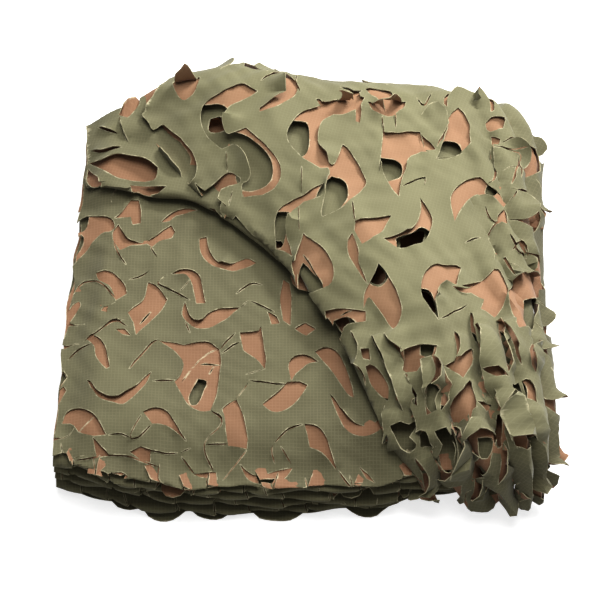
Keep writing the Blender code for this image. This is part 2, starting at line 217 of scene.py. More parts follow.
def bundle_rise(p, q):
    """The bundle's top above the pad's: it rises from the turned edge inwards, sinks to the right and front,
    and rolls in slow waves."""
    rise = RISE_AT_TURN + (RISE_INSIDE - RISE_AT_TURN) * eased(past_turn(p, q) / RISE_WIDTH)
    rise = rise - 14 * eased((p - 110) / 80) - 9 * eased((-110 - q) / 80)
    return rise + 2.5 * np.sin(0.025 * p - 0.014 * q) + 2 * np.sin(0.019 * q + 0.021 * p + 1.0)


def surface(k, p, q):
    """The middle of layer k before its folds are turned over. A bundle layer lies level over the pad, bends
    over the core's edge on an arc, falls straight, and stands in pleats."""
    p, q = np.asarray(p, float), np.asarray(q, float)
    if k <= PAD_LAYERS:
        return np.stack([p, q, pad_height(k, p, q)], axis=-1)
    over_x = np.maximum(p - HANG_RIGHT, 0.0)
    over_front = np.maximum(HANG_FRONT - q, 0.0)
    over_back = np.maximum(q - HANG_BACK - HANG_BACK_SLANT * p, 0.0) if k > 12 else np.zeros_like(q)
    out = np.hypot(over_x, over_front + over_back)
    level_p, level_q = p - over_x, q + over_front - over_back
    top = pad_height(PAD_LAYERS, level_p, level_q)
    share = SHARES[k] - (EDGE_ROLL * (1 - eased(past_turn(level_p, level_q) / 40)) if k == LAYERS - 1 else 0)
    lift = bundle_rise(level_p, level_q) * share
    radius = HANG_RADIUS + lift
    bend = np.minimum(out / radius, HANG_ANGLE)
    rest = np.maximum(out - radius * HANG_ANGLE, 0.0)
    sideways = radius * np.sin(bend) + rest * math.cos(HANG_ANGLE)
    drop = radius * (1 - np.cos(bend)) + rest * math.sin(HANG_ANGLE)
    safe = np.maximum(out, 1e-9)
    out_x, out_y = over_x / safe, (over_back - over_front) / safe

    on_right = eased((p - HANG_RIGHT + 50) / 60)
    on_front = eased((HANG_FRONT - q + 105) / 110) * eased((p - 55) / 60)
    depth = np.maximum(PLEAT_RIGHT * on_right, PLEAT_FRONT * on_front) * (0.55 + 0.45 * SHARES[k])
    across = p + PLEAT_LEAN * q + 5 * np.sin(q / 37)
    ridge = np.abs(np.sin(math.pi * across / PLEAT_WIDTH + 0.4))
    pleat = depth * (1.9 * ridge - 1.15 + 0.3 * np.sin(2 * math.pi * across / 21.5 + q / 50))
    level = np.cos(bend)
    x = level_p + sideways * out_x + pleat * np.sin(bend) * out_x
    y = level_q + sideways * out_y + pleat * np.sin(bend) * out_y
    z = top + lift - drop + 0.75 * pleat * level
    low = z - 2 * LOWEST_HANG
    return np.stack([x, y, np.where(low < 0, LOWEST_HANG * (1 + np.exp(low / LOWEST_HANG)), z)], axis=-1)


def folded(k, p, q):
    """The middle of layer k with half of each of its folds. A fold is a half circle as wide as the gap
    between its two layers, and what the turn takes up is pulled in from the cloth behind it."""
    p, q = np.asarray(p, float), np.asarray(q, float)
    flat = surface(k, p, q)
    place = flat.copy()
    for f, other in ((k - 1, k - 1), (k, k + 1)):
        if not 1 <= other <= LAYERS:
            continue
        inward = -1.0 if f % 2 else 1.0
        at = fold_at(f, p)
        slope = np.clip((fold_at(f, p + 1) - fold_at(f, p - 1)) / 2, -1.8, 1.8)
        steep = 1.0 / np.sqrt(1.0 + slope**2)
        away = np.maximum((q - at) * inward * steep, 0.0)
        radius = np.maximum(np.linalg.norm(surface(other, p, at) - surface(k, p, at), axis=-1) / 2, 0.3)
        turn = np.clip(math.pi / 2 - away / radius, 0.0, math.pi / 2)
        ahead = surface(k, p - inward * slope * steep, q + inward * steep) - flat
        ahead /= np.maximum(np.linalg.norm(ahead, axis=-1, keepdims=True), 1e-9)
        past = away - radius * math.pi / 2
        pulled = (1 - math.pi / 2) * radius * np.exp(-np.maximum(past, 0.0) / 40)
        pull = np.where(past < 0, radius * (1 - np.sin(turn)) - away, pulled)
        place += (surface(other, p, q) - flat) / 2 * (1 - np.cos(turn))[..., None] + ahead * pull[..., None]
    return place


def creased(p, q, creases):
    """How high creases stand: each is a bell across its line, faded towards both ends."""
    height = np.zeros_like(p)
    for x0, y0, x1, y1, high, wide in creases:
        length = math.hypot(x1 - x0, y1 - y0)
        ux, uy = (x1 - x0) / length, (y1 - y0) / length
        along = (p - x0) * ux + (q - y0) * uy
        across = (q - y0) * ux - (p - x0) * uy + 2.5 * np.sin(along / 17 + x0)
        ends = eased(along / 25) * eased((length - along) / 25)
        height += high * ends * np.exp(-np.abs(across / wide) ** 1.5)
    return height


def wrinkled(p, q):
    """Fine wrinkles: ridges as a constant less the size of a sine, in three bent sets, each strong here and
    gone there."""
    bent = 2.2 * np.sin(0.030 * q + 0.01 * p), 2.0 * np.sin(0.028 * p + 1), 1.5 * np.sin(0.035 * p - 0.02 * q)
    ridges = [
        (0.9, np.sin(0.10 * p + 0.05 * q + bent[0]), np.sin(0.021 * p + 0.033 * q)),
        (0.9, np.sin(0.05 * p - 0.13 * q + bent[1]), np.sin(0.029 * p - 0.024 * q + 2)),
        (0.6, np.sin(0.15 * p + 0.12 * q + bent[2]), np.sin(0.04 * q - 0.01 * p + 4)),
    ]
    return WRINKLES * sum(
        high * (0.6 - np.abs(ridge)) * eased(0.55 + 0.7 * strong) for high, ridge, strong in ridges
    )


def cloth(k, p, q):
    """Where layer k's cloth lies: folded, with its creases and small waves. The layers that lie close under
    the two that show follow them."""
    p, q = np.asarray(p, float), np.asarray(q, float)
    place = folded(k, p, q)
    alike = {LAYERS - 1: LAYERS, PAD_LAYERS - 1: PAD_LAYERS}.get(k, k)
    small = np.sin(0.11 * p + 0.05 * q + 1.3 * alike) + np.sin(0.13 * q - 0.07 * p + 2.2 * alike)
    if alike == LAYERS:
        place[..., 2] += creased(p, q, BUNDLE_CREASES) + 0.5 * small + wrinkled(p, q)
    elif alike == PAD_LAYERS:
        place[..., 2] += creased(p, q, PAD_CREASES) + 0.2 * small + 0.8 * wrinkled(q + 60, p)
    else:
        place[..., 2] += (0.5 if k > PAD_LAYERS else 0.25) * small
    if k in (LAYERS - 1, LAYERS - 2):
        place[..., 2] += creased(p, q, CORNER_CREASES) * (0.7 if k == LAYERS - 1 else 1)
    return place


def held(points):
    """Points held between the floor and the net's own height: past the lowest and highest they are pressed
    back ever more, the way past them being the give times one less a fading exponential."""
    above, below = np.maximum(points[:, 2] - HIGHEST, 0.0), np.maximum(LOWEST - points[:, 2], 0.0)
    points[:, 2] += GIVE_ABOVE * (1 - np.exp(-above / GIVE_ABOVE)) - above
    points[:, 2] += below - GIVE_BELOW * (1 - np.exp(-below / GIVE_BELOW))
    return points


# ------------------------------------------------------------------------------------------------------------
# The leaf cuts. A machine has die-cut the cloth all over with S-shaped slits. Each half of an S frees a
# tongue, and where the cloth is drawn, the slit opens to a crescent round it. The openings that show are
# listed one by one, the back and the right side have rows of cuts, and covered layers the machine's pattern.

CUT_HALF_ANGLE = math.radians(105)
SLIT = 1.0  # width of a slit that stays closed
LIP = (0.8, 6)  # how high the drawn edge of an opening stands up, and over how many mm

# Openings by layer. Each is a ring of edges, and an edge is how far its tongue lifts, 0 for a drawn edge
# without one, and then its places.
OPENINGS = {
    15: [
        ((3, (-137, 240), (-147, 225), (-153, 216), (-158, 206), (-156, 192), (-149, 181), (-144, 174),
         (-136, 180)), (0, (-134, 179), (-126, 170), (-116, 159), (-107, 145), (-102, 133), (-100, 125),
         (-101, 114), (-106, 108)), (4, (-112, 108), (-117, 112), (-114, 125), (-116, 134), (-122, 144),
         (-130, 152), (-137, 155)), (0, (-141, 155), (-147, 158), (-152, 164), (-158, 178), (-161, 193),
         (-158, 206), (-153, 216), (-146, 227), (-137, 244))),
        ((0, (-42, 198), (-54, 208), (-62, 207), (-79, 200), (-93, 194), (-98, 184), (-96, 168), (-90, 155),
         (-83, 146), (-76, 140)), (5, (-72, 141), (-62, 141), (-51, 129), (-47, 118), (-46, 106),
         (-50, 100), (-56, 98)), (0, (-54, 84)), (0, (-36, 81), (-26, 83), (-20, 90), (-18, 103),
         (-22, 117), (-29, 128), (-37, 139), (-45, 148)), (4, (-53, 157), (-63, 154), (-72, 153),
         (-77, 166), (-76, 172), (-73, 179), (-69, 184), (-59, 188), (-49, 193))),
        ((0, (-40, 173), (-29, 176), (-20, 182), (-9, 193), (-3, 202), (-3, 217), (-8, 227), (-16, 239),
         (-28, 227)), (5, (-39, 212), (-28, 218), (-16, 217), (-11, 210), (-14, 197), (-24, 188),
         (-33, 181), (-40, 177))),
        ((27, (-125, 232), (-122, 216), (-115, 206), (-106, 214), (-102, 231)), (0, (-100, 229),
         (-104, 211), (-115, 203), (-124, 215), (-127, 229))),
        ((24, (20, 195), (27, 183), (41, 177), (55, 183), (61, 195)), (0, (64, 195), (59, 181), (41, 173),
         (23, 181), (16, 195))),
        ((20, (70, 189), (76, 178), (87, 173), (98, 179), (102, 189)), (0, (105, 189), (101, 176),
         (87, 169), (73, 176), (67, 189))),
        ((7, (146, 182), (147, 196), (155, 208), (168, 212), (181, 207), (189, 196), (190, 182)),
         (0, (193, 184), (192, 198), (183, 211), (168, 217), (153, 211), (144, 198), (143, 184))),
        ((0, (37, 194), (28, 190), (16, 183), (6, 179), (-2, 171), (-8, 160), (-12, 149), (-12, 139),
         (-8, 130), (-2, 122), (4, 113), (12, 106)), (5, (20, 100), (30, 96), (26, 73), (23, 59), (21, 45)),
         (0, (22, 42), (35, 46), (44, 51), (53, 62), (60, 71), (64, 81), (57, 105), (49, 123)),
         (4, (42, 134), (38, 118), (32, 104), (26, 112), (21, 124), (18, 137), (18, 149), (21, 161),
         (28, 170), (36, 176), (43, 181))),
        ((0, (46, 198)), (0, (62, 208)), (0, (52, 188))),
        ((0, (53, 196)), (0, (58, 206), (61, 181)), (0, (59, 162)), (0, (55, 164), (55, 181))),
        ((0, (65, 210)), (0, (78, 211), (90, 204), (92, 195), (91, 182)), (3, (85, 174), (83, 183),
         (78, 193), (71, 199))),
        ((0, (82, 147)), (0, (100, 146)), (0, (118, 148)), (4, (121, 123), (111, 118), (104, 110),
         (101, 96), (97, 80)), (0, (95, 62), (86, 77), (79, 101), (79, 114), (84, 134))),
        ((0, (119, 146)), (0, (133, 126)), (0, (121, 122))),
        ((0, (150, 175)), (0, (157, 183)), (0, (162, 176), (167, 161), (167, 148), (167, 137)),
         (0, (159, 130), (151, 119), (141, 116)), (5, (133, 114), (141, 135), (146, 147), (146, 157),
         (146, 166))),
        ((4, (184, 169), (192, 175), (202, 172)), (0, (200, 161), (191, 156), (185, 161))),
        ((0, (189, 152)), (0, (197, 147)), (0, (195, 139)), (0, (189, 143))),
        ((4, (148, 39), (155, 57), (162, 71), (175, 80), (186, 76), (196, 67)), (0, (202, 73), (194, 82),
         (184, 88), (175, 99), (163, 94), (154, 84), (147, 72), (145, 61))),
        ((0, (115, 62), (124, 45), (126, 33), (121, 14)), (0, (115, 6), (104, 0), (91, -2)), (4, (79, 9),
         (90, 12), (99, 15), (107, 21), (112, 29), (115, 41), (116, 52))),
        ((0, (53, 29)), (2, (87, 37), (82, 26), (77, 15), (68, 8)), (0, (59, 4)), (0, (52, 20))),
        ((0, (50, 18), (46, 10), (46, 0), (50, -12), (56, -25)), (2, (64, -38), (60, -26), (56, -14),
         (56, -5), (54, 5))),
        ((0, (74, -20), (81, -31), (87, -43), (92, -55), (95, -68), (93, -78)), (3, (88, -88), (83, -80),
         (78, -69), (71, -58), (66, -51)), (0, (60, -61), (61, -47), (66, -37), (71, -28))),
        ((0, (129, -17)), (0, (152, -15)), (4, (146, -38), (139, -36), (132, -38), (127, -48), (125, -58),
         (125, -69)), (0, (129, -83), (118, -65), (113, -50), (116, -33), (122, -23))),
        ((5, (150, -38), (162, -31), (172, -22), (179, -17)), (0, (184, -11), (189, -10), (192, -21),
         (195, -36), (192, -50), (187, -59)), (0, (182, -65), (175, -62)), (0, (169, -60)), (0, (173, -47),
         (163, -44))),
        ((0, (199, 66)), (0, (191, 53)), (0, (190, 48)), (0, (199, 45))),
        ((0, (194, 6)), (0, (196, 6), (201, -3)), (0, (206, -16), (200, -5))),
        ((6, (195, -39), (205, -18), (209, -12), (218, -7), (235, -4)), (0, (243, -19), (224, -51),
         (223, -73)), (3, (204, -83), (198, -68), (195, -51))),
        ((0, (-58, 105), (-69, 112), (-78, 106), (-87, 99), (-96, 91), (-95, 83), (-88, 77), (-80, 69)),
         (4, (-70, 60), (-77, 68), (-79, 78), (-79, 86), (-76, 94), (-67, 97), (-57, 101))),
        ((0, (-70, 60)), (0, (-61, 65), (-50, 50), (-43, 39), (-37, 29)), (0, (-32, 17)), (4, (-39, 26),
         (-49, 38), (-56, 46), (-63, 53))),
        ((0, (25, 81), (18, 79), (10, 74), (4, 71), (-5, 69), (-13, 66), (-20, 60), (-23, 52), (-23, 40),
         (-22, 29)), (0, (-22, 20), (-14, 16)), (5, (-6, 7), (-9, 20), (-12, 30), (-13, 41), (-10, 51),
         (-3, 58), (4, 61), (14, 64), (23, 68))),
        ((0, (4, 29), (10, 20), (19, 11), (26, 0), (31, -9), (33, -21), (31, -31)), (0, (24, -33),
         (15, -35)), (4, (2, -33), (-4, -22), (-4, -11), (-4, 3), (-1, 13), (2, 22))),
        ((0, (25, -56), (36, -57), (50, -61)), (0, (62, -64)), (6, (62, -74), (52, -74), (43, -76),
         (40, -84)), (0, (38, -93), (30, -82), (25, -68))),
        ((0, (62, -118), (67, -117), (74, -123), (81, -136), (82, -144)), (2, (81, -151), (71, -142),
         (65, -132))),
        ((0, (58, -101)), (0, (65, -101)), (0, (66, -113)), (0, (60, -111))),
        ((0, (94, -126), (96, -116), (102, -109), (108, -107)), (0, (127, -108)), (0, (122, -119),
         (114, -124)), (0, (110, -130))),
        ((0, (135, -129)), (0, (147, -123), (158, -109)), (0, (160, -118), (156, -129)), (3, (149, -141),
         (142, -136))),
        ((3, (140, -175), (139, -166), (143, -160), (149, -151), (154, -145)), (0, (159, -155),
         (160, -165)), (0, (152, -176))),
        ((0, (95, -129)), (0, (102, -129), (105, -140), (111, -151)), (0, (112, -159), (105, -151),
         (99, -142))),
        ((0, (119, -145)), (0, (126, -150)), (0, (123, -161)), (0, (125, -169)), (0, (119, -169)),
         (0, (117, -159))),
        ((0, (86, -172)), (0, (92, -171)), (0, (100, -173)), (0, (110, -168)), (0, (100, -186),
         (107, -194)), (0, (101, -197), (94, -191))),
        ((0, (125, -184)), (0, (133, -183)), (0, (139, -189), (140, -203)), (0, (141, -222)),
         (0, (132, -236), (124, -219)), (0, (129, -196))),
        ((6, (156, -197), (161, -190), (170, -187), (178, -192)), (0, (176, -204), (171, -218)),
         (0, (168, -246)), (0, (158, -233)), (0, (164, -210), (158, -205))),
        ((4, (177, -189), (180, -175), (183, -171)), (0, (189, -180), (190, -190)), (0, (183, -204),
         (179, -201))),
        ((0, (192, -145)), (0, (202, -140)), (0, (205, -149), (206, -161)), (0, (197, -182)),
         (0, (193, -166))),
        ((3, (204, -139), (210, -137), (215, -144)), (0, (216, -159)), (0, (208, -155))),
        ((0, (172, -131)), (0, (181, -132)), (0, (189, -139)), (0, (181, -143))),
        ((0, (161, -163)), (0, (175, -162)), (0, (169, -170))),
        ((0, (110, -180), (119, -185)), (0, (121, -197)), (0, (110, -196))),
        ((0, (110, -243), (129, -242)), (0, (149, -237)), (0, (147, -276), (129, -256))),
        ((0, (196, -193)), (0, (218, -195)), (0, (204, -204)), (0, (197, -200))),
    ],
    14: [
        ((0, (-134, 174), (-118, 161), (-107, 142), (-108, 132), (-116, 137), (-125, 147), (-136, 157)),),
        ((0, (-109, 197), (-93, 191), (-78, 188), (-70, 177), (-68, 149), (-74, 139), (-93, 142),
         (-106, 162), (-111, 181)),),
        ((0, (-66, 155), (-56, 151), (-47, 144), (-37, 133), (-29, 120), (-26, 105), (-29, 92), (-40, 89),
         (-54, 92), (-62, 106), (-58, 120), (-62, 135), (-71, 147)),),
        ((0, (-20, 163), (-4, 164), (7, 161), (9, 139), (6, 121), (-7, 115), (-21, 133)),),
        ((0, (31, 92), (43, 83), (46, 63), (39, 49), (22, 39), (15, 57), (20, 77)),),
        ((0, (70, 115), (86, 114), (96, 109), (99, 98), (95, 88), (77, 83)),),
        ((0, (142, 140), (156, 137), (158, 119), (141, 104), (130, 112), (135, 129)),),
        ((0, (91, 11), (106, 18), (116, 26), (125, 16), (113, -7), (94, -12)),),
        ((0, (70, -13), (83, -31), (76, -42), (66, -36), (63, -21)),),
        ((0, (107, -47), (120, -48), (125, -59), (128, -78), (120, -88), (106, -68)),),
        ((0, (214, -38), (234, -28), (242, -50), (222, -72)),),
        ((0, (-101, 89), (-88, 92), (-78, 83), (-75, 64), (-70, 60), (-91, 79)),),
        ((0, (-66, 56), (-52, 42), (-37, 26), (-29, 12), (-36, 22), (-55, 45)),),
        ((0, (-30, 61), (-19, 59), (-9, 54), (-11, 39), (-17, 22), (-30, 30)),),
        ((0, (4, -1), (23, -29), (18, -41), (2, -36), (-7, -21)),),
        ((0, (33, -65), (46, -66), (54, -76), (44, -84), (32, -80)),),
        ((0, (83, -167), (96, -167), (111, -169), (110, -194), (97, -194), (87, -184)),),
        ((0, (123, -180), (138, -185), (143, -210), (134, -225), (123, -206)),),
        ((0, (179, -168), (185, -175), (182, -203), (175, -196)),),
        ((0, (189, -142), (204, -138), (208, -158), (196, -182), (189, -165)),),
        ((0, (161, -194), (174, -195), (172, -208), (164, -209)),),
        ((0, (107, -177), (122, -182), (123, -199), (108, -197)),),
        ((0, (93, -127), (104, -136), (114, -158), (101, -155)),),
        ((0, (67, -87), (75, -92), (85, -119), (80, -124), (71, -104)),),
        ((0, (128, -164), (137, -164), (135, -193), (126, -185)),),
        ((0, (143, -177), (150, -186), (148, -219), (138, -209)),),
        ((0, (156, -86), (163, -92), (169, -130), (161, -132)),),
        ((0, (186, -80), (194, -86), (198, -117), (190, -118)),),
        ((0, (78, -146), (85, -151), (83, -168), (76, -163)),),
        ((0, (207, -166), (212, -171), (220, -192), (203, -193)),),
        ((0, (171, -150), (178, -155), (182, -167), (175, -166)),),
        ((0, (117, -142), (128, -148), (126, -170), (117, -162)),),
        ((0, (112, -100), (124, -102), (121, -117), (112, -116)),),
        ((0, (183, 93), (192, 90), (188, 78), (180, 81)),),
    ],
    13: [
        ((0, (-210, 147), (-195, 146), (-182, 151), (-168, 147), (-153, 142)), (0, (-140, 130),
         (-142, 117)), (0, (-152, 116), (-170, 120), (-186, 126))),
        ((0, (-167, 114)), (0, (-131, 108)), (0, (-139, 101), (-160, 97))),
        ((5, (-182, 200), (-175, 219)), (0, (-162, 224), (-162, 211)), (0, (-173, 193))),
        ((4, (-210, 141), (-206, 134), (-193, 119)), (0, (-197, 109), (-210, 124))),
        ((0, (-89, 181), (-77, 180), (-72, 168), (-80, 164), (-90, 167)),),
        ((0, (95, 19), (109, 28), (119, 29), (112, 6), (97, 2)),),
        ((0, (70, -9), (81, -24), (76, -34), (66, -28)),),
        ((0, (109, -42), (122, -46), (127, -65), (118, -64)),),
        ((0, (-94, 82), (-81, 79), (-75, 62), (-83, 69)),),
        ((0, (-67, 55), (-57, 45), (-45, 33), (-52, 40)),),
        ((0, (34, -60), (47, -62), (49, -77), (34, -76)),),
        ((0, (83, -168), (96, -167), (111, -169), (109, -192), (95, -191), (86, -183)),),
        ((0, (124, -178), (139, -181), (144, -204), (133, -220)),),
        ((0, (109, -175), (123, -181), (123, -195), (110, -193)),),
        ((0, (178, -165), (186, -171), (184, -197), (176, -191)),),
        ((0, (94, -126), (104, -134), (114, -155), (102, -151)),),
        ((0, (129, -161), (137, -161), (135, -187), (128, -181)),),
        ((0, (158, -82), (163, -86), (168, -123), (163, -124)),),
    ],
    12: [
        ((0, (83, -168), (97, -163), (111, -166), (109, -189), (95, -191), (86, -184)),),
        ((0, (125, -174), (140, -173), (145, -201), (133, -220)),),
        ((0, (110, -173), (123, -177), (123, -190), (110, -190)),),
    ],
    11: [
        ((0, (-98, 52), (-97, 39), (-92, 25), (-84, 17), (-74, 13), (-64, 10), (-53, 13)), (2, (-42, 20),
         (-51, 26), (-60, 22), (-68, 18), (-78, 21), (-85, 30), (-89, 40)), (0, (-91, 53))),
        ((0, (-223, 77), (-217, 84), (-210, 86), (-200, 84), (-190, 81), (-183, 75)), (0, (-181, 67),
         (-186, 61), (-193, 61), (-200, 54), (-206, 45), (-214, 35)), (0, (-223, 25), (-217, 37),
         (-210, 48)), (0, (-207, 55)), (0, (-216, 61))),
        ((0, (-167, 102)), (0, (-159, 101), (-156, 86)), (0, (-156, 72)), (0, (-164, 71)), (0, (-166, 80)),
         (0, (-182, 78), (-173, 89))),
        ((1, (-178, 71), (-174, 63), (-169, 54), (-163, 50), (-155, 49), (-146, 52), (-139, 57),
         (-133, 63)), (0, (-126, 69)), (0, (-122, 61)), (0, (-125, 53), (-136, 49)), (0, (-143, 42)),
         (0, (-149, 47), (-157, 45), (-166, 43)), (0, (-175, 38), (-181, 48), (-183, 60))),
        ((0, (-136, 72), (-130, 79), (-123, 86), (-112, 90)), (0, (-101, 87), (-112, 83), (-122, 80),
         (-128, 73))),
        ((0, (-197, 12), (-189, 12), (-181, 10), (-174, 3), (-168, -5)), (0, (-166, -15), (-170, -20)),
         (1, (-175, -24), (-179, -15), (-183, -6), (-189, -2), (-194, 4))),
        ((0, (-146, -1), (-136, -8)), (0, (-127, -22), (-132, -36), (-142, -49)), (0, (-155, -66)),
         (0, (-158, -50)), (0, (-164, -38), (-156, -30), (-149, -21))),
        ((0, (-124, 9), (-115, 13), (-105, 13), (-97, 6), (-94, -6), (-92, -18)), (0, (-90, -28)),
         (2, (-99, -28), (-101, -16), (-104, -3), (-109, 5), (-116, 7))),
        ((0, (-175, -59)), (0, (-166, -59)), (0, (-160, -67)), (0, (-168, -65))),
        ((0, (-202, -67)), (0, (-197, -64), (-190, -70), (-184, -79), (-181, -90)), (0, (-178, -104)),
         (1, (-181, -106), (-187, -99), (-192, -89), (-194, -78))),
        ((0, (-199, -117), (-193, -129), (-187, -139), (-181, -143), (-172, -146), (-164, -148),
         (-157, -141), (-150, -132), (-143, -121)), (2, (-139, -109), (-145, -115), (-152, -125),
         (-160, -132), (-167, -138), (-175, -140), (-183, -136), (-189, -131), (-195, -120))),
        ((0, (-134, -72)), (0, (-122, -74)), (0, (-110, -77), (-99, -75), (-86, -74)), (0, (-76, -82),
         (-74, -97), (-76, -118), (-78, -135)), (0, (-83, -151), (-92, -152), (-100, -149), (-108, -138)),
         (2, (-117, -119), (-112, -113), (-109, -99), (-114, -89), (-121, -81))),
        ((0, (-110, -25), (-112, -41), (-106, -51), (-99, -57), (-88, -58), (-77, -52), (-67, -44)),
         (2, (-57, -33), (-68, -34), (-77, -34), (-87, -40), (-93, -49), (-99, -49), (-105, -43))),
        ((0, (-57, -63)), (0, (-39, -61)), (0, (-37, -56)), (0, (-34, -78), (-32, -95)), (0, (-33, -104)),
         (0, (-43, -91)), (0, (-53, -84))),
        ((0, (-11, -102), (-9, -95), (-3, -90), (4, -89), (10, -92)), (2, (17, -97), (7, -100), (3, -104),
         (-4, -111)), (0, (-8, -119))),
        ((0, (14, -86), (23, -82), (33, -85), (42, -103), (48, -124)), (3, (50, -137), (45, -134),
         (39, -124), (31, -110), (23, -98))),
        ((0, (-35, -143), (-28, -137), (-19, -129)), (0, (-12, -120)), (0, (0, -119)), (0, (7, -123),
         (4, -130), (-2, -139), (-9, -146), (-18, -151), (-27, -151))),
        ((0, (-72, -149)), (0, (-59, -139)), (0, (-55, -148), (-51, -163)), (0, (-48, -179)),
         (0, (-49, -188)), (0, (-66, -185)), (0, (-69, -165))),
        ((0, (-220, -162), (-217, -152), (-211, -148), (-202, -149), (-192, -156), (-186, -164)),
         (0, (-178, -179)), (0, (-189, -180), (-198, -177)), (1, (-204, -173), (-210, -164))),
        ((0, (-190, -181)), (0, (-175, -197)), (0, (-186, -199))),
        ((0, (-145, -155), (-138, -151), (-131, -150), (-123, -154), (-117, -162), (-111, -172)),
         (2, (-104, -183), (-113, -174), (-121, -169), (-131, -167)), (0, (-136, -167))),
        ((0, (-156, -193)), (0, (-146, -188)), (0, (-137, -191)), (0, (-137, -202)), (0, (-146, -200))),
        ((0, (4, -165), (12, -166), (19, -170), (25, -179), (28, -189)), (0, (34, -206), (26, -196),
         (18, -189)), (0, (9, -185)), (0, (7, -175))),
        ((0, (-55, -201), (-49, -207), (-42, -211), (-33, -210), (-22, -206)), (0, (-7, -203), (-14, -213),
         (-25, -219), (-38, -220), (-48, -215))),
        ((0, (-98, -210)), (0, (-77, -208)), (0, (-76, -216)), (0, (-92, -213))),
        ((0, (-182, -219), (-173, -214), (-163, -211)), (0, (-157, -215)), (0, (-166, -221), (-178, -221))),
        ((2, (28, -133), (33, -139), (38, -149), (45, -160), (54, -166), (65, -167), (77, -157)),
         (0, (85, -156), (77, -169), (67, -176), (57, -178), (44, -172), (36, -159))),
        ((0, (54, -202)), (0, (62, -210)), (0, (69, -219)), (0, (61, -214))),
        ((0, (-16, -1)), (0, (-10, -6), (-8, -27)), (0, (-9, -56)), (0, (-16, -50), (-19, -26))),
        ((0, (-31, -39)), (0, (-22, -46)), (0, (-19, -53)), (0, (-27, -54))),
        ((0, (-5, -59)), (0, (5, -52)), (0, (15, -60)), (0, (6, -68))),
        ((2, (-228, -56), (-224, -37), (-218, -23)), (0, (-212, -19), (-210, -26)), (0, (-216, -37),
         (-221, -51)), (0, (-225, -68))),
        ((3, (-227, -124), (-227, -109)), (0, (-222, -102)), (0, (-218, -109)), (0, (-224, -122))),
        ((0, (-230, -145), (-229, -131)), (0, (-221, -120)), (0, (-218, -125)), (0, (-224, -140))),
        ((0, (-187, -31)), (0, (-183, -30)), (0, (-184, -37)), (0, (-190, -36))),
        ((6, (-225, -203), (-223, -200), (-216, -196), (-209, -202), (-207, -211)), (0, (-204, -212),
         (-208, -199), (-216, -193), (-225, -197), (-231, -202))),
        ((5, (-193, -216), (-195, -215), (-187, -214), (-178, -218), (-174, -222)), (0, (-171, -223),
         (-176, -215), (-187, -211), (-197, -214), (-196, -215))),
    ],
    10: [
        ((0, (-95, -115), (-87, -118), (-90, -130), (-95, -144), (-100, -146), (-103, -135)),),
        ((0, (-222, 94), (-209, 96), (-208, 80), (-212, 70), (-222, 69)),),
        ((0, (-223, 43), (-216, 64), (-211, 56), (-220, 36)),),
        ((0, (-220, -162)), (0, (-212, -163)), (0, (-215, -175)), (0, (-220, -178))),
        ((0, (-38, -217)), (0, (-23, -213)), (0, (-26, -219)), (0, (-38, -220))),
        ((0, (-173, -217)), (0, (-159, -212)), (0, (-162, -219)), (0, (-173, -221))),
        ((0, (-227, -107)), (0, (-222, -102)), (0, (-219, -109)), (0, (-225, -121))),
    ],
}

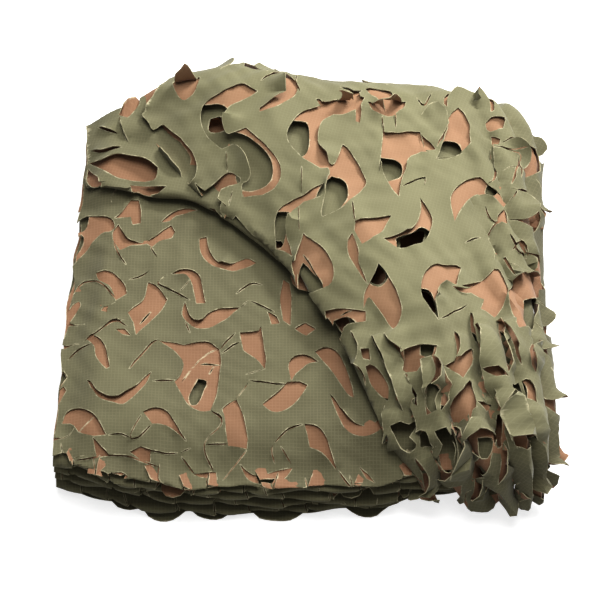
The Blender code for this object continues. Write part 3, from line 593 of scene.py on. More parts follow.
# Slits by layer: how far the cloth to their left stands up, over how many mm, and their places.
SLITS = {
    15: [
        (2, 6, (-136, 247), (-147, 225), (-153, 216)), (1.5, 6, (-1, 252), (-4, 220), (0, 201)),
        (1.5, 6, (116, 196), (123, 185), (131, 202)),
        (4, 8, (134, 129), (145, 157), (144, 178), (133, 185), (120, 172)),
        (2, 7, (81, 169), (82, 146), (77, 93)), (2, 7, (101, 106), (109, 121), (126, 122)),
        (2.5, 7, (190, 145), (192, 125), (189, 99), (182, 90)),
        (2.5, 7, (205, 136), (217, 131), (210, 110), (205, 93)), (2, 7, (210, 88), (206, 77), (198, 68)),
        (1.5, 6, (132, 113), (146, 117), (160, 129)), (2, 7, (188, 139), (187, 124)),
        (1.5, 7, (192, 136), (210, 137), (225, 140)), (1.5, 6, (214, 131), (216, 104)),
        (1.5, 8, (-72, 137), (-70, 113)), (1.2, 8, (2, 105), (2, 72)), (1.2, 8, (-55, 97), (-55, 84)),
        (1.2, 8, (-1, 60), (0, 32)), (1.5, 8, (50, 55), (53, 27)), (1.2, 7, (98, 75), (120, 90), (120, 79)),
        (1.5, 8, (130, -81), (144, -69), (157, -57)), (2, 7, (179, 67), (183, 52), (192, 46), (197, 61)),
        (4, 9, (185, -2), (183, 14), (179, 26), (184, 40), (191, 48)),
        (2.5, 7, (202, 14), (215, 35), (225, 19), (221, 27)), (1.5, 6, (-65, 92), (-68, 76)),
        (2, 7, (83, 192), (94, 176), (94, 151)), (2, 7, (40, 213), (52, 203), (59, 178)),
        (1.5, 6, (-139, 151), (-128, 132), (-120, 113)), (2, 8, (157, 17), (165, 22), (172, 25)),
        (2, 8, (200, 34), (204, 23), (209, 13), (225, 17)),
        (9, 17, (67, -88), (74, -106), (82, -125), (89, -145), (95, -163)),
        (8, 15, (80, -90), (90, -104), (96, -120)), (9, 16, (111, -107), (115, -134), (117, -156)),
        (9, 18, (159, -66), (161, -93), (170, -112), (171, -134), (176, -157)),
        (8, 16, (186, -65), (186, -92), (188, -118), (189, -135)),
        (8, 16, (192, -72), (198, -100), (204, -124)),
        (9, 16, (180, -151), (185, -167), (192, -186), (199, -204)),
        (8, 14, (206, -161), (213, -179), (220, -193)), (8, 15, (128, -133), (131, -150), (128, -170)),
        (8, 14, (78, -154), (79, -174), (82, -200)), (9, 16, (138, -179), (141, -204), (143, -230)),
        (8, 14, (171, -230), (165, -250)), (5, 13, (46, -108), (59, -122), (62, -134)),
        (8, 13, (119, -118), (122, -135), (118, -151)), (8, 13, (101, -150), (110, -173), (113, -198)),
        (8, 14, (150, -159), (155, -180), (154, -204)), (8, 14, (163, -86), (170, -110), (165, -131)),
        (8, 13, (191, -156), (188, -180), (193, -207)), (8, 13, (132, -193), (129, -218), (138, -255)),
        (8, 13, (224, -72), (211, -106), (217, -128)), (8, 13, (181, -198), (184, -219), (180, -234)),
        (7, 12, (105, -202), (114, -223), (114, -254)), (7, 12, (155, -215), (161, -237), (157, -261)),
        (6, 12, (95, -108), (102, -127), (103, -144)), (6, 12, (143, -90), (145, -114), (139, -135)),
        (5, 10, (48, -81), (55, -96), (54, -111)), (5, 10, (142, -40), (158, -43), (176, -33)),
    ],
    11: [
        (1.5, 6, (-182, 50), (-178, 38), (-173, 29), (-168, 20)),
        (1.2, 6, (-146, 47), (-143, 37), (-138, 28)),
        (1.5, 6, (-218, -8), (-212, 0), (-204, 4), (-195, 2), (-187, -7), (-181, -15), (-175, -24),
         (-181, -29), (-189, -33)),
        (1.5, 6, (-127, 9), (-137, -3), (-127, -9), (-115, -17), (-105, -24)),
        (1.2, 5, (-106, 0), (-116, -15)), (1.5, 6, (-219, -89), (-210, -80), (-196, -74)),
        (2, 7, (-160, -106), (-141, -77), (-133, -71)), (1.2, 7, (-138, -119), (-116, -118)),
        (1.5, 6, (-109, -49), (-104, -63)), (1.2, 6, (-49, -26), (-57, -34)),
        (1.5, 6, (-76, -83), (-61, -63)), (1.5, 6, (-74, -87), (-65, -79), (-56, -73)),
        (1.5, 6, (-32, -104), (-51, -111)), (1.2, 6, (-48, -117), (-30, -120), (-10, -123)),
        (2, 7, (-83, -150), (-72, -164), (-88, -185), (-79, -209)),
        (1.5, 6, (-48, -119), (-59, -137), (-72, -149)), (1.5, 6, (-49, -189), (-71, -216)),
        (1.2, 6, (-88, -185), (-65, -183)),
        (1.5, 6, (-146, -158), (-156, -180), (-148, -180), (-136, -167)),
        (1.5, 6, (-24, -183), (-11, -170), (3, -165)), (1.5, 6, (-25, -184), (-26, -190), (-23, -200)),
        (1.5, 6, (-18, -185), (-8, -200)), (1.5, 6, (-129, -203), (-129, -220), (-114, -224)),
        (1.5, 6, (-109, -195), (-96, -211)),
        (1.5, 6, (-206, -202), (-190, -200), (-175, -197), (-161, -196), (-150, -199), (-129, -206)),
        (1.2, 6, (-61, -18), (-53, -10), (-46, -6), (-36, -7)),
        (1.2, 6, (-48, -26), (-36, -33), (-24, -41)), (1.2, 6, (-165, 1), (-154, 6), (-145, 14)),
        (1.2, 6, (-147, -190), (-128, -193), (-112, -192)),
        (1, 6, (-176, -179), (-165, -177), (-155, -181)), (1.2, 6, (-110, -192), (-100, -188)),
        (1.5, 6, (-185, -56), (-175, -48), (-163, -56)),
        (1.2, 6, (-205, -70), (-194, -64), (-180, -51), (-167, -48)),
        (1.5, 6, (35, -206), (46, -222), (66, -228)),
    ],
    10: [
        (1.5, 6, (-152, -52), (-142, -37)), (1.5, 6, (-78, -81), (-93, -92), (-111, -120)),
        (1.5, 6, (-190, -160), (-204, -174)), (1, 5, (-94, -99), (-75, -99)),
        (1, 5, (-85, -110), (-81, -101)),
    ],
    13: [
        (4, 7, (-203, 191), (-192, 182), (-181, 177)), (4, 7, (-194, 144), (-180, 128), (-157, 120)),
        (4, 7, (-209, 162), (-195, 156), (-177, 161)), (4, 7, (-210, 113), (-185, 107), (-167, 99)),
        (4, 7, (-181, 196), (-176, 179), (-171, 167)), (4, 7, (-192, 107), (-174, 101), (-154, 95)),
    ],
    14: [
        (1.5, 6, (36, 225), (51, 199)), (1.5, 6, (4, 8), (23, -29)), (1.5, 6, (39, -63), (50, -61)),
    ],
}

# Leaf cuts where the openings aren't told one by one: round the pad's edges and under the bundle, and round
# the bundle's back, right side and front right corner.
PAD_CUTS = [
    # x, y, turn, radius, gap, lift
    (-190, 124, 60, 12, 9, 1), (40, 30, -60, 24, 14, 0), (110, 80, -60, 24, 14, 0),
    (120, -40, -60, 24, 14, 0), (-219, -192, 205, 13, 9, 5), (-150, 188, 100, 14, 8, 2),
    (-219, -60, 175, 12, 7, 2),
]
BUNDLE_CUTS = [
    # x, y, turn, radius, gap, lift
    (-84, 262, 55, 17, 10, 4), (-34, 246, 140, 12, 12, 2), (16, 270, 30, 18, 9, 5),
    (74, 242, 165, 12, 10, 2), (112, 260, 80, 15, 13, 3), (162, 230, 15, 18, 9, 5),
    (204, 240, 120, 12, 11, 3), (-58, 286, 100, 13, 9, 2), (216, 72, 0, 17, 12, 7),
    (212, 132, 20, 16, 11, 7), (250, 96, -15, 12, 9, 7), (252, -36, -10, 12, 8, 6),
    (246, -130, -30, 14, 10, 6), (222, 6, -25, 15, 11, 7), (252, 170, 20, 13, 9, 6),
    (236, -80, -15, 12, 8, 6), (196, -262, -80, 13, 8, 5), (140, -262, -95, 12, 8, 4),
    (236, -232, -50, 13, 8, 6), (262, -190, -30, 12, 8, 5),
]

# The even pattern: the pitch of the Ss across and along the cloth, and their two lobes.
PATTERN_PITCH = (84, 74)
PATTERN_LOBE = (20, 11)  # radius and gap
PATTERN_APART = 26  # from an S's middle to the middle of either lobe
EDGE_SHOWN = 46  # how far in from its edges a covered pad layer is cut, as no more of it shows
FOLD_SLITS = 33  # from one slit over a pad fold to the next
BUNDLE_LEAN = 13  # degrees clockwise, from above, that the bundle's threads and pattern are turned
OPENING_STEP, SLIT_STEP = 4.2, 4.5  # how far apart the places of an opening's edges and of a slit lie
LEAF_STEPS = {11: 4.5, 14: 6.0, 15: 4.5}  # how far apart the places of a leaf cut lie, by layer
HIDDEN_LEAF_STEP = 7.5  # and in all other layers
SHORTEST_LIP = 12  # a drawn edge shorter than this stays flat


def leaf_cut(x, y, turn, radius, gap, tails, skew, step):
    """A cut's ring, rim and drawn edge: an arc round the tongue's tip, run on at both ends as a slit that
    bends away and narrows, and back along the drawn edge, which stands off the arc by the gap times a
    cosine."""

    def tail(side, length):
        """Both sides of a tail from the arc's end: a turn the other way, as places towards its tip."""
        far = np.linspace(0.0, length, max(3, round(length / step) + 1))
        bend = 1.4 * radius
        start = CUT_HALF_ANGLE + math.pi / 2
        heading = start - far / bend
        line = np.stack([
            radius * math.cos(CUT_HALF_ANGLE) + bend * (math.sin(start) - np.sin(heading)),
            radius * math.sin(CUT_HALF_ANGLE) + bend * (np.cos(heading) - math.cos(start)),
        ], axis=-1)
        off = np.stack([np.sin(heading), -np.cos(heading)], axis=-1) * (SLIT * (1 - far / length))[:, None]
        return line * (1, side), (line + off) * (1, side)

    count = max(7, round(2 * CUT_HALF_ANGLE * radius / step))
    share = np.linspace(-1.0, 1.0, count)
    angle = share * CUT_HALF_ANGLE
    drawn = radius + SLIT + gap * np.cos(share * math.pi / 2) * (1 + skew * share)
    arc = np.stack([np.cos(angle), np.sin(angle)], axis=-1)
    (in_a, out_a), (in_b, out_b) = tail(-1, tails[0]), tail(1, tails[1])
    edge = arc * drawn[:, None]
    ring = np.vstack([in_a[:0:-1], arc * radius, in_b[1:], out_b[-2:0:-1], edge[::-1], out_a[1:-1]])
    c, s = math.cos(math.radians(turn)), math.sin(math.radians(turn))
    return [line @ np.array([[c, s], [-s, c]]) + (x, y) for line in (ring, arc * radius, edge)]


def edges_of(k, q):
    """Layer k's left and right cut edges at q: straight from fold to fold, and wandering."""
    front, back = (FOLD_LINES[f] for f in folds_of(k))
    out = []
    for i in (0, -1):
        share = np.clip((q - front[i, 1]) / (back[i, 1] - front[i, 1]), 0, 1)
        wander = 2.4 * np.sin(0.045 * q + 1.9 * k + i) + 1.2 * np.sin(0.12 * q + 0.7 * k)
        out.append(front[i, 0] + (back[i, 0] - front[i, 0]) * share + wander * np.sin(math.pi * share))
    return out


def inset(k, p, q):
    """Roughly how far places lie inside layer k's outline."""
    left, right = edges_of(k, q)
    front, back = folds_of(k)
    rise = [np.clip(fold_at(f, p + 2) - fold_at(f, p - 2), -7, 7) for f in (front, back)]
    lean = [np.sqrt(1 + step**2 / 16) for step in rise]
    sides = [(q - fold_at(front, p)) / lean[0], (fold_at(back, p) - q) / lean[1], p - left, right - p]
    return np.minimum.reduce(sides)


def opening(edges):
    """An opening's ring, its tongues as (rim, lift, twist), and the drawn edges, which stand up as lips."""
    parts, tongues, lips = [], [], []
    for (lift, *row), (_, onward, *_) in zip(edges, edges[1:] + edges[:1]):
        row = row + [onward]
        length = sum(math.dist(a, b) for a, b in zip(row, row[1:]))
        line = curve(row, max(2, round(length / OPENING_STEP) + 1))
        parts.append(line[:-1])
        if lift:
            tongues.append((line, lift, 0.5 * math.sin(line[0, 0])))
        elif length > SHORTEST_LIP:
            lips.append((line, *LIP, False))
    return np.vstack(parts), tongues, lips


def slit(height, reach, *row):
    """A closed slit's ring along a row of places, and its left side, which stands up."""
    length = sum(math.dist(a, b) for a, b in zip(row, row[1:]))
    line = curve(row, max(3, round(length / SLIT_STEP) + 1))
    ahead = np.gradient(line, axis=0)
    ahead /= np.linalg.norm(ahead, axis=1, keepdims=True)
    off = np.stack([-ahead[:, 1], ahead[:, 0]], axis=-1) * SLIT / 2
    ring = np.vstack([line[:1], (line + off)[1:-1], line[-1:], (line - off)[-2:0:-1]])
    return ring, [], [(line, height, reach, True)]


def cuts_of(k):
    """The cuts whose middles lie on layer k, as rows of ring, tongues and lips: those listed one by one,
    slits over the pad's folds, and leaf cuts, apart from those that don't show or lie under an opening."""
    rng = random.Random(300 + k)
    kept = [opening(edges) for edges in OPENINGS.get(k, [])] + [slit(*row) for row in SLITS.get(k, [])]
    over = [opening(edges)[0] for edges in OPENINGS.get(k + 1, [])]
    for x in np.arange(-212, 160, FOLD_SLITS) if k < PAD_LAYERS else []:
        x, lean = x + rng.uniform(-9, 9), rng.uniform(-14, 14)
        y, inwards = float(fold_at(k, x)), -1 if k % 2 else 1
        row = (x, y + 17 * inwards), (x + 0.6 * lean, y + 3 * inwards), (x + lean, y - 12 * inwards)
        kept.append(slit(3, 8, *row[::inwards]))
    if k in (PAD_LAYERS, LAYERS):
        rows = PAD_CUTS if k == PAD_LAYERS else BUNDLE_CUTS
    else:
        rows = []
        lean = rng.uniform(-20, 20) - (BUNDLE_LEAN if k > PAD_LAYERS else 90)
        c, s = math.cos(math.radians(lean)), math.sin(math.radians(lean))
        shift = rng.uniform(-30, 30), rng.uniform(-30, 30)
        for i in range(-5, 6):
            for j in range(-5, 6):
                across = (i + 0.5 * (j % 2)) * PATTERN_PITCH[0] + shift[0] + rng.uniform(-4, 4)
                along = j * PATTERN_PITCH[1] + shift[1] + rng.uniform(-4, 4)
                for side in (1, -1):
                    up = along + side * PATTERN_APART
                    radius, gap = PATTERN_LOBE[0] + rng.uniform(-3, 3), PATTERN_LOBE[1] + rng.uniform(-4, 5)
                    radius *= 0.6 if k < PAD_LAYERS else 1.0
                    turn = lean + (180 if side > 0 else 0) + rng.uniform(-14, 14)
                    lift = rng.uniform(-1.5, 2.5) if k < PAD_LAYERS else rng.uniform(-2, 4)
                    rows.append((across * c - up * s, across * s + up * c, turn, radius, gap, lift))
    step = LEAF_STEPS.get(k, HIDDEN_LEAF_STEP)
    for x, y, turn, radius, gap, lift in rows:
        tails = rng.uniform(8, 20), rng.uniform(8, 20)
        skew, twist = rng.uniform(-0.5, 0.5), rng.uniform(-0.7, 0.7)
        depth = float(inset(k, np.array(x), np.array(y)))
        least = -4 if k in (PAD_LAYERS, LAYERS) else 14 if k < 5 else 2
        if depth < least or (k < PAD_LAYERS - 1 and depth > EDGE_SHOWN):
            continue
        # None in the lowest layer, nor where the bundle's lower layers show at the left and the back.
        if k == 1 or (k == 13 and x < -85) or (k in (13, 14) and y > 160):
            continue
        ring, rim, drawn = leaf_cut(x, y, turn, radius, gap, tails, skew, step)
        low, high = ring.min(axis=0) - 6, ring.max(axis=0) + 6
        if any((o.min(axis=0) < high).all() and (o.max(axis=0) > low).all() for o in over):
            continue
        kept.append((ring, [(rim, lift, twist)], [(drawn, 0.25 * abs(lift), 7, False)]))
    return kept


def crossings(ring, f):
    """A ring with a place added wherever it crosses fold f, and those places' p."""
    after = np.roll(ring, -1, axis=0)
    here, there = ring[:, 1] - fold_at(f, ring[:, 0]), after[:, 1] - fold_at(f, after[:, 0])
    i = np.flatnonzero(here * there < 0)
    at = ring[i] + (after - ring)[i] * (here[i] / (here[i] - there[i]))[:, None]
    at[:, 1] = fold_at(f, at[:, 0])
    return np.insert(ring, i + 1, at, axis=0), at[:, 0]


# Each cut is kept for its own layer, and mirrored in a fold that it crosses for the layer beyond. A fold's
# places are even ones and those where cuts cross it, so that both of its layers share them.
PAD_FOLD, BUNDLE_FOLD = 74, 90  # how many even places a fold has
PAD_SIDE, BUNDLE_SIDE = 56, 66  # how many places a layer's cut side has
SEAM_GAP = 1.2  # an even place this close to a cut's is left out
CUTS = {k: [] for k in range(1, LAYERS + 1)}
SEAMS = {f: [] for f in range(LAYERS + 1)}
for k in range(1, LAYERS + 1):
    for ring, tongues, lips in cuts_of(k):
        beyond = []
        for f in (k - 1, k):
            if 0 < f < LAYERS:
                ring, crossed = crossings(ring, f)
                if len(crossed):
                    SEAMS[f] += [p for p in crossed if FOLD_LINES[f][0, 0] < p < FOLD_LINES[f][-1, 0]]
                    beyond.append(f)
        CUTS[k].append((ring, tongues, lips, k, None))
        for f in beyond:
            mirrored = np.stack([ring[:, 0], 2 * fold_at(f, ring[:, 0]) - ring[:, 1]], axis=-1)
            CUTS[k - 1 if f == k - 1 else k + 1].append((mirrored, tongues, lips, k, f))
for f in SEAMS:
    count = PAD_FOLD if f <= PAD_LAYERS else BUNDLE_FOLD
    even = np.linspace(FOLD_LINES[f][0, 0], FOLD_LINES[f][-1, 0], count)
    added = np.unique(np.round(SEAMS[f], 4))
    if len(added):
        apart = np.abs(even[:, None] - added[None]).min(axis=1)
        apart[[0, -1]] = np.inf
        even = even[apart > SEAM_GAP]
    SEAMS[f] = np.unique(np.concatenate([even, added]))


def inside(points, ring):
    """Which points lie in a ring: those from which a line to the right crosses it an odd number of times."""
    found = np.zeros(len(points), bool)
    low, high = ring.min(axis=0), ring.max(axis=0)
    near = np.flatnonzero(((points >= low) & (points <= high)).all(axis=1))
    x, y = points[near, 0][:, None], points[near, 1][:, None]
    a, b = ring, np.roll(ring, -1, axis=0)
    rise = np.where(b[:, 1] == a[:, 1], 1e-12, b[:, 1] - a[:, 1])
    crossed = ((a[:, 1] > y) != (b[:, 1] > y)) & (x < (b[:, 0] - a[:, 0]) * (y - a[:, 1]) / rise + a[:, 0])
    found[near] = crossed.sum(axis=1) % 2 == 1
    return found


def clear_of(points, rings, gap):
    """The points whose square of a chart of squares, and its eight neighbours, hold no part of any ring."""
    low = points.min(axis=0) - 3 * gap
    shape = np.ceil((points.max(axis=0) - low) / gap).astype(int) + 4
    taken = np.zeros(shape, bool)
    for ring in rings:
        after = np.roll(ring, -1, axis=0)
        parts = max(2, int(np.ceil(np.linalg.norm(after - ring, axis=1).max() / gap)) + 1)
        line = np.concatenate([ring + (after - ring) * s for s in np.linspace(0, 1, parts)])
        cell = np.floor((line - low) / gap).astype(int)
        cell = cell[((cell >= 1) & (cell < shape - 1)).all(axis=1)]
        for i in (-1, 0, 1):
            for j in (-1, 0, 1):
                taken[cell[:, 0] + i, cell[:, 1] + j] = True
    at = np.floor((points - low) / gap).astype(int)
    return points[~taken[at[:, 0], at[:, 1]]]


def hexagons(low, high, step):
    """An even field of places between two corners, every other row shifted by half a step."""
    rows = np.arange(low[1], high[1], step * 0.866)
    across = np.arange(low[0] - step, high[0] + step, step)
    p = across[None] + (np.arange(len(rows)) % 2)[:, None] * step / 2
    return np.stack([p, np.broadcast_to(rows[:, None], p.shape)], axis=-1).reshape(-1, 2)


# How far apart a layer's places lie where it shows and where it is covered, in mm.
FIELD_STEPS = {15: (4.7, 4.7), 14: (7, 7), 13: (8, 9), 12: (8, 10), 11: (4.8, 14), 10: (7, 15)}
COVERED_STEPS = (7.5, 17)
FOLD_ROWS = (0.45, 0.95, 1.5)  # the turns round a fold, in radians, at which rows of places lie


def field_of(k, rings):
    """The places inside layer k: close together where it shows, further apart where it is covered, and in
    rows round its folds."""
    low, high = rings[0].min(axis=0), rings[0].max(axis=0)
    fine, coarse = FIELD_STEPS.get(k, COVERED_STEPS)
    parts = []
    for step, is_fine in ((fine, True), (coarse, False)):
        places = hexagons(low, high, step)
        p, q = places.T
        deep = inset(k, p, q)
        if k in (PAD_LAYERS, PAD_LAYERS - 1):
            shown = (q < fold_at(PAD_LAYERS + 1, p) + 30) | (deep < 20)
        elif k < PAD_LAYERS:
            shown = deep < 26
        else:
            shown = deep < 60
        places = places[(shown == is_fine) & (deep > 0.3 * step)]
        parts.append(clear_of(places, rings, 0.42 * step))
    for f, sign in zip(folds_of(k), (1.0, -1.0)):
        if 0 < f < LAYERS:
            line = np.stack([SEAMS[f], fold_at(f, SEAMS[f])], axis=-1)[2:-2]
            wide = surface(f + 1, *line.T) - surface(f, *line.T)
            slope = np.clip((fold_at(f, line[:, 0] + 1) - fold_at(f, line[:, 0] - 1)) / 2, -1.8, 1.8)
            for angle in FOLD_ROWS:
                reach = np.linalg.norm(wide, axis=-1) / 2 * angle * np.sqrt(1 + slope**2)
                row = np.stack([line[:, 0], line[:, 1] + sign * np.maximum(reach, 1.3 * angle)], axis=-1)
                row = row[inset(k, *row.T) > 0.4]
                parts.append(clear_of(row, rings[1:], 1.2))
    return np.vstack(parts)


def off_line(points, line):
    """How far points lie from a line of places, how far to its left, and how far from its nearer end."""
    start, run = line[:-1], np.diff(line, axis=0)
    length = np.linalg.norm(run, axis=1)
    away = points[:, None] - start
    share = np.clip((away * run).sum(axis=2) / length**2, 0, 1)
    apart = np.linalg.norm(away - share[..., None] * run, axis=2)
    i, rows = apart.argmin(axis=1), np.arange(len(points))
    left = (run[i, 0] * away[rows, i, 1] - run[i, 1] * away[rows, i, 0]) / length[i]
    along = (np.cumsum(length) - length)[i] + share[rows, i] * length[i]
    return apart[rows, i], left, np.minimum(along, length.sum() - along)


def outwards(k, p, q):
    """Which way layer k's cloth faces there, upwards where it lies level."""
    here = cloth(k, p, q)
    up = np.cross(cloth(k, p + 2, q) - here, cloth(k, p, q + 2) - here)
    return up / np.linalg.norm(up, axis=-1, keepdims=True)


def raised(k, places, points):
    """Bends the tongues out of the cloth and raises the lips. A tongue leaves the cloth at the line between
    its rim's two ends and turns up, most of it near its foot, and more at one side than at the other. A lip
    stands up as a bell, and a slit's right side sinks a little."""
    for _, tongues, lips, home, fold in CUTS[k]:
        p, q = places[:, 0], places[:, 1]
        if fold is not None:
            q = 2 * fold_at(fold, p) - q
        at_home = np.stack([p, q], axis=-1)
        for rim, lift, twist in tongues:
            low, high = rim.min(axis=0) - 1, rim.max(axis=0) + 1
            near = np.flatnonzero(((at_home > low) & (at_home < high)).all(axis=1))
            if not len(near):
                continue
            on = inside(at_home[near], rim) | (off_line(at_home[near], rim)[0] < 0.4)
            at = near[on]
            side = rim[-1] - rim[0]
            half = np.linalg.norm(side) / 2
            side /= 2 * half
            tip = np.array((side[1], -side[0]))
            reach = (rim - rim[0]) @ tip
            if abs(reach.min()) > reach.max():
                tip, reach = -tip, -reach
            length = reach.max()
            if not len(at) or length < 3:
                continue
            out = np.maximum((at_home[at] - rim[0]) @ tip, 0.0)[:, None]
            foot = at_home[at] - out * tip
            across = (foot - (rim[0] + rim[-1]) / 2) @ side / max(half, length / 2)
            here = cloth(home, *foot.T)
            on = cloth(home, *(foot + 2 * tip).T) - here
            aside = cloth(home, *(foot + 2 * np.array((-tip[1], tip[0]))).T) - here
            on /= np.linalg.norm(on, axis=1, keepdims=True)
            up = np.cross(on, aside)
            up /= np.linalg.norm(up, axis=1, keepdims=True)
            steps = np.linspace(0, 1.05 * length, 60)
            turned = 1.5 * lift / length * (1 - np.exp(-steps / (0.35 * length)))
            ahead, risen = (np.cumsum(part(turned)) * steps[1] for part in (np.cos, np.sin))
            more = 1 + twist * np.clip(across, -1.3, 1.3)[:, None]
            bent = here + on * np.interp(out, steps, ahead - ahead[0])
            bent = bent + up * np.interp(out, steps, risen) * more
            points[at] += eased(out / (0.3 * length)) * (bent - points[at])
        for line, height, reach, one_sided in lips if fold is None else []:
            low, high = line.min(axis=0) - 2.2 * reach, line.max(axis=0) + 2.2 * reach
            near = np.flatnonzero(((at_home > low) & (at_home < high)).all(axis=1))
            if len(near):
                apart, left, ends = off_line(at_home[near], line)
                bell = height * np.exp(-((apart / reach) ** 2)) * eased(ends / 9)
                if one_sided:
                    bell *= np.where(left > 0.01, 1.0, -0.15)
                points[near] += outwards(home, *at_home[near].T) * bell[:, None]
    return held(points)


def net_layer(k):
    """Layer k as flat places, triangles, points, and which of its places lie along its two folds."""
    front, back = folds_of(k)
    rows = {f: np.stack([SEAMS[f], fold_at(f, SEAMS[f])], axis=-1) for f in (front, back)}
    sides = []
    for i, (start, end) in enumerate(((rows[front][0], rows[back][0]), (rows[front][-1], rows[back][-1]))):
        q = np.linspace(start[1], end[1], BUNDLE_SIDE if k > PAD_LAYERS else PAD_SIDE)[1:-1]
        sides.append(np.stack([edges_of(k, q)[i], q], axis=-1))
    outline = np.vstack([rows[front], sides[1], rows[back][::-1], sides[0][::-1]])
    rings = [outline] + [ring for ring, *_ in CUTS[k]]
    places = np.vstack(rings + [field_of(k, rings)])
    starts = np.cumsum([0] + [len(ring) for ring in rings])
    edges = []
    for start, ring in zip(starts, rings):
        i = np.arange(len(ring))
        edges.append(np.stack([start + i, start + (i + 1) % len(ring)], axis=-1))
    edges = np.vstack(edges)
    found, _, faces, origin, _, _ = delaunay_2d_cdt([Vector(v) for v in places], edges.tolist(), [], 0, 1e-3)
    became = np.full(len(places), -1)
    repeats = [len(group) for group in origin]
    became[np.fromiter(chain.from_iterable(origin), int)] = np.repeat(np.arange(len(found)), repeats)
    places = np.array([v[:] for v in found])
    triangles = np.array(faces)
    middle = places[triangles].mean(axis=1)
    keep = inside(middle, outline)
    for ring in rings[1:]:
        keep &= ~inside(middle, ring)
    points = raised(k, places, cloth(k, places[:, 0], places[:, 1]))
    n_front, n_back = len(rows[front]), len(rows[back])
    at_back = n_front + len(sides[1])
    along = {front: became[:n_front], back: became[at_back : at_back + n_back][::-1]}
    return places, triangles[keep], points, along


def joined_layers():
    """All layers joined along their folds: points, triangles with the olive face outwards, and each
    triangle's places on the flat cloth."""
    points, triangles, flats, seams, count = [], [], [], {}, 0
    for k in range(1, LAYERS + 1):
        places, local, own, along = net_layer(k)
        index = np.full(len(places), -1)
        for f, row in along.items():
            if f in seams:
                index[row] = seams[f]
        fresh = np.flatnonzero(index < 0)
        index[fresh] = count + np.arange(len(fresh))
        count += len(fresh)
        points.append(own[fresh])
        for f, row in along.items():
            seams[f] = index[row]
        local = local if k % 2 else local[:, ::-1]
        triangles.append(index[local])
        lean = math.radians(-BUNDLE_LEAN if k > PAD_LAYERS else 0)
        turn = np.array([[math.cos(lean), -math.sin(lean)], [math.sin(lean), math.cos(lean)]])
        flats.append((places @ turn)[local])
    return np.vstack(points), np.vstack(triangles), np.vstack(flats)


def largest_piece(count, triangles):
    """Which triangles belong to the largest connected piece: each point takes the lowest number among its
    neighbours until none changes."""
    label = np.arange(count)
    while True:
        low = label[triangles].min(axis=1)
        new = label.copy()
        for i in range(3):
            np.minimum.at(new, triangles[:, i], low)
        new = new[new]
        if (new == label).all():
            break
        label = new
    found, size = np.unique(label[triangles[:, 0]], return_counts=True)
    return label[triangles[:, 0]] == found[size.argmax()]


points, triangles, flats = joined_layers()
keep = largest_piece(len(points), triangles)
triangles, flats = triangles[keep], flats[keep]
used = np.unique(triangles)
renumber = np.zeros(len(points), int)
renumber[used] = np.arange(len(used))
points, triangles = points[used], renumber[triangles]

# The cloth gets its thickness to both sides of its middle, and its cut edges close it. Each corner of a
# triangle along a cut knows how many mm it lies from the cut, for the fray there.
FAR_FROM_CUT = 9.0  # mm, for a triangle that has no side on a cut, or is wide and has several
corner = points[triangles]
face_normal = np.cross(corner[:, 1] - corner[:, 0], corner[:, 2] - corner[:, 0])
normal = np.zeros_like(points)
for i in range(3):
    np.add.at(normal, triangles[:, i], face_normal)
normal /= np.maximum(np.linalg.norm(normal, axis=1, keepdims=True), 1e-12)
count = len(points)
start, end = triangles.ravel(), np.roll(triangles, -1, axis=1).ravel()
rim = ~np.isin(start * count + end, end * count + start)
on_rim = rim.reshape(-1, 3)
longest = np.linalg.norm(corner - np.roll(corner, -1, axis=1), axis=2).max(axis=1)
high = np.linalg.norm(face_normal, axis=1) / np.maximum(longest, 1e-9)
apart = np.where(on_rim | np.roll(on_rim, 1, axis=1), 0.0, high[:, None])
apart[(on_rim.sum(axis=1) == 0) | ((on_rim.sum(axis=1) > 1) & (high > 1.0))] = FAR_FROM_CUT
start, end = start[rim], end[rim]
start_flat, end_flat = flats.reshape(-1, 2)[rim], np.roll(flats, -1, axis=1).reshape(-1, 2)[rim]
verts = np.vstack([points + normal * CLOTH / 2, points - normal * CLOTH / 2])
verts[:, :2] -= MIDDLE
verts[:, 2] -= verts[:, 2].min()
quads = np.stack([end, start, start + count, end + count], axis=-1)
loops = np.concatenate([triangles.ravel(), (triangles[:, ::-1] + count).ravel(), quads.ravel()])
sizes = np.concatenate([np.full(2 * len(triangles), 3), np.full(len(quads), 4)])
loop_flat = np.vstack([
    flats.reshape(-1, 2), flats[:, ::-1].reshape(-1, 2),
    np.stack([end_flat, start_flat, start_flat, end_flat], axis=1).reshape(-1, 2),
])
mesh = bpy.data.meshes.new("leaf_cut_net")
mesh.vertices.add(len(verts))
mesh.vertices.foreach_set("co", (verts * MM).ravel())
mesh.loops.add(len(loops))
mesh.loops.foreach_set("vertex_index", loops)
mesh.polygons.add(len(sizes))
mesh.polygons.foreach_set("loop_start", np.concatenate([[0], np.cumsum(sizes)[:-1]]))
of_each = [len(triangles), len(triangles), len(quads)]  # olive, tan and raw edge
mesh.polygons.foreach_set("material_index", np.repeat([0, 1, 2], of_each))
mesh.update(calc_edges=True)
from_edge = mesh.attributes.new("from_cut_edge", "FLOAT", "CORNER")
apart = np.concatenate([apart.ravel(), apart[:, ::-1].ravel(), np.zeros(quads.size)])
from_edge.data.foreach_set("value", apart)
mesh.uv_layers.new(name="flat_cloth").data.foreach_set("uv", (loop_flat * MM).ravel())
mesh.shade_smooth()
mesh.set_sharp_from_angle(angle=math.radians(55))
net = bpy.data.objects.new("leaf_cut_net", mesh)
bpy.context.scene.collection.objects.link(net)
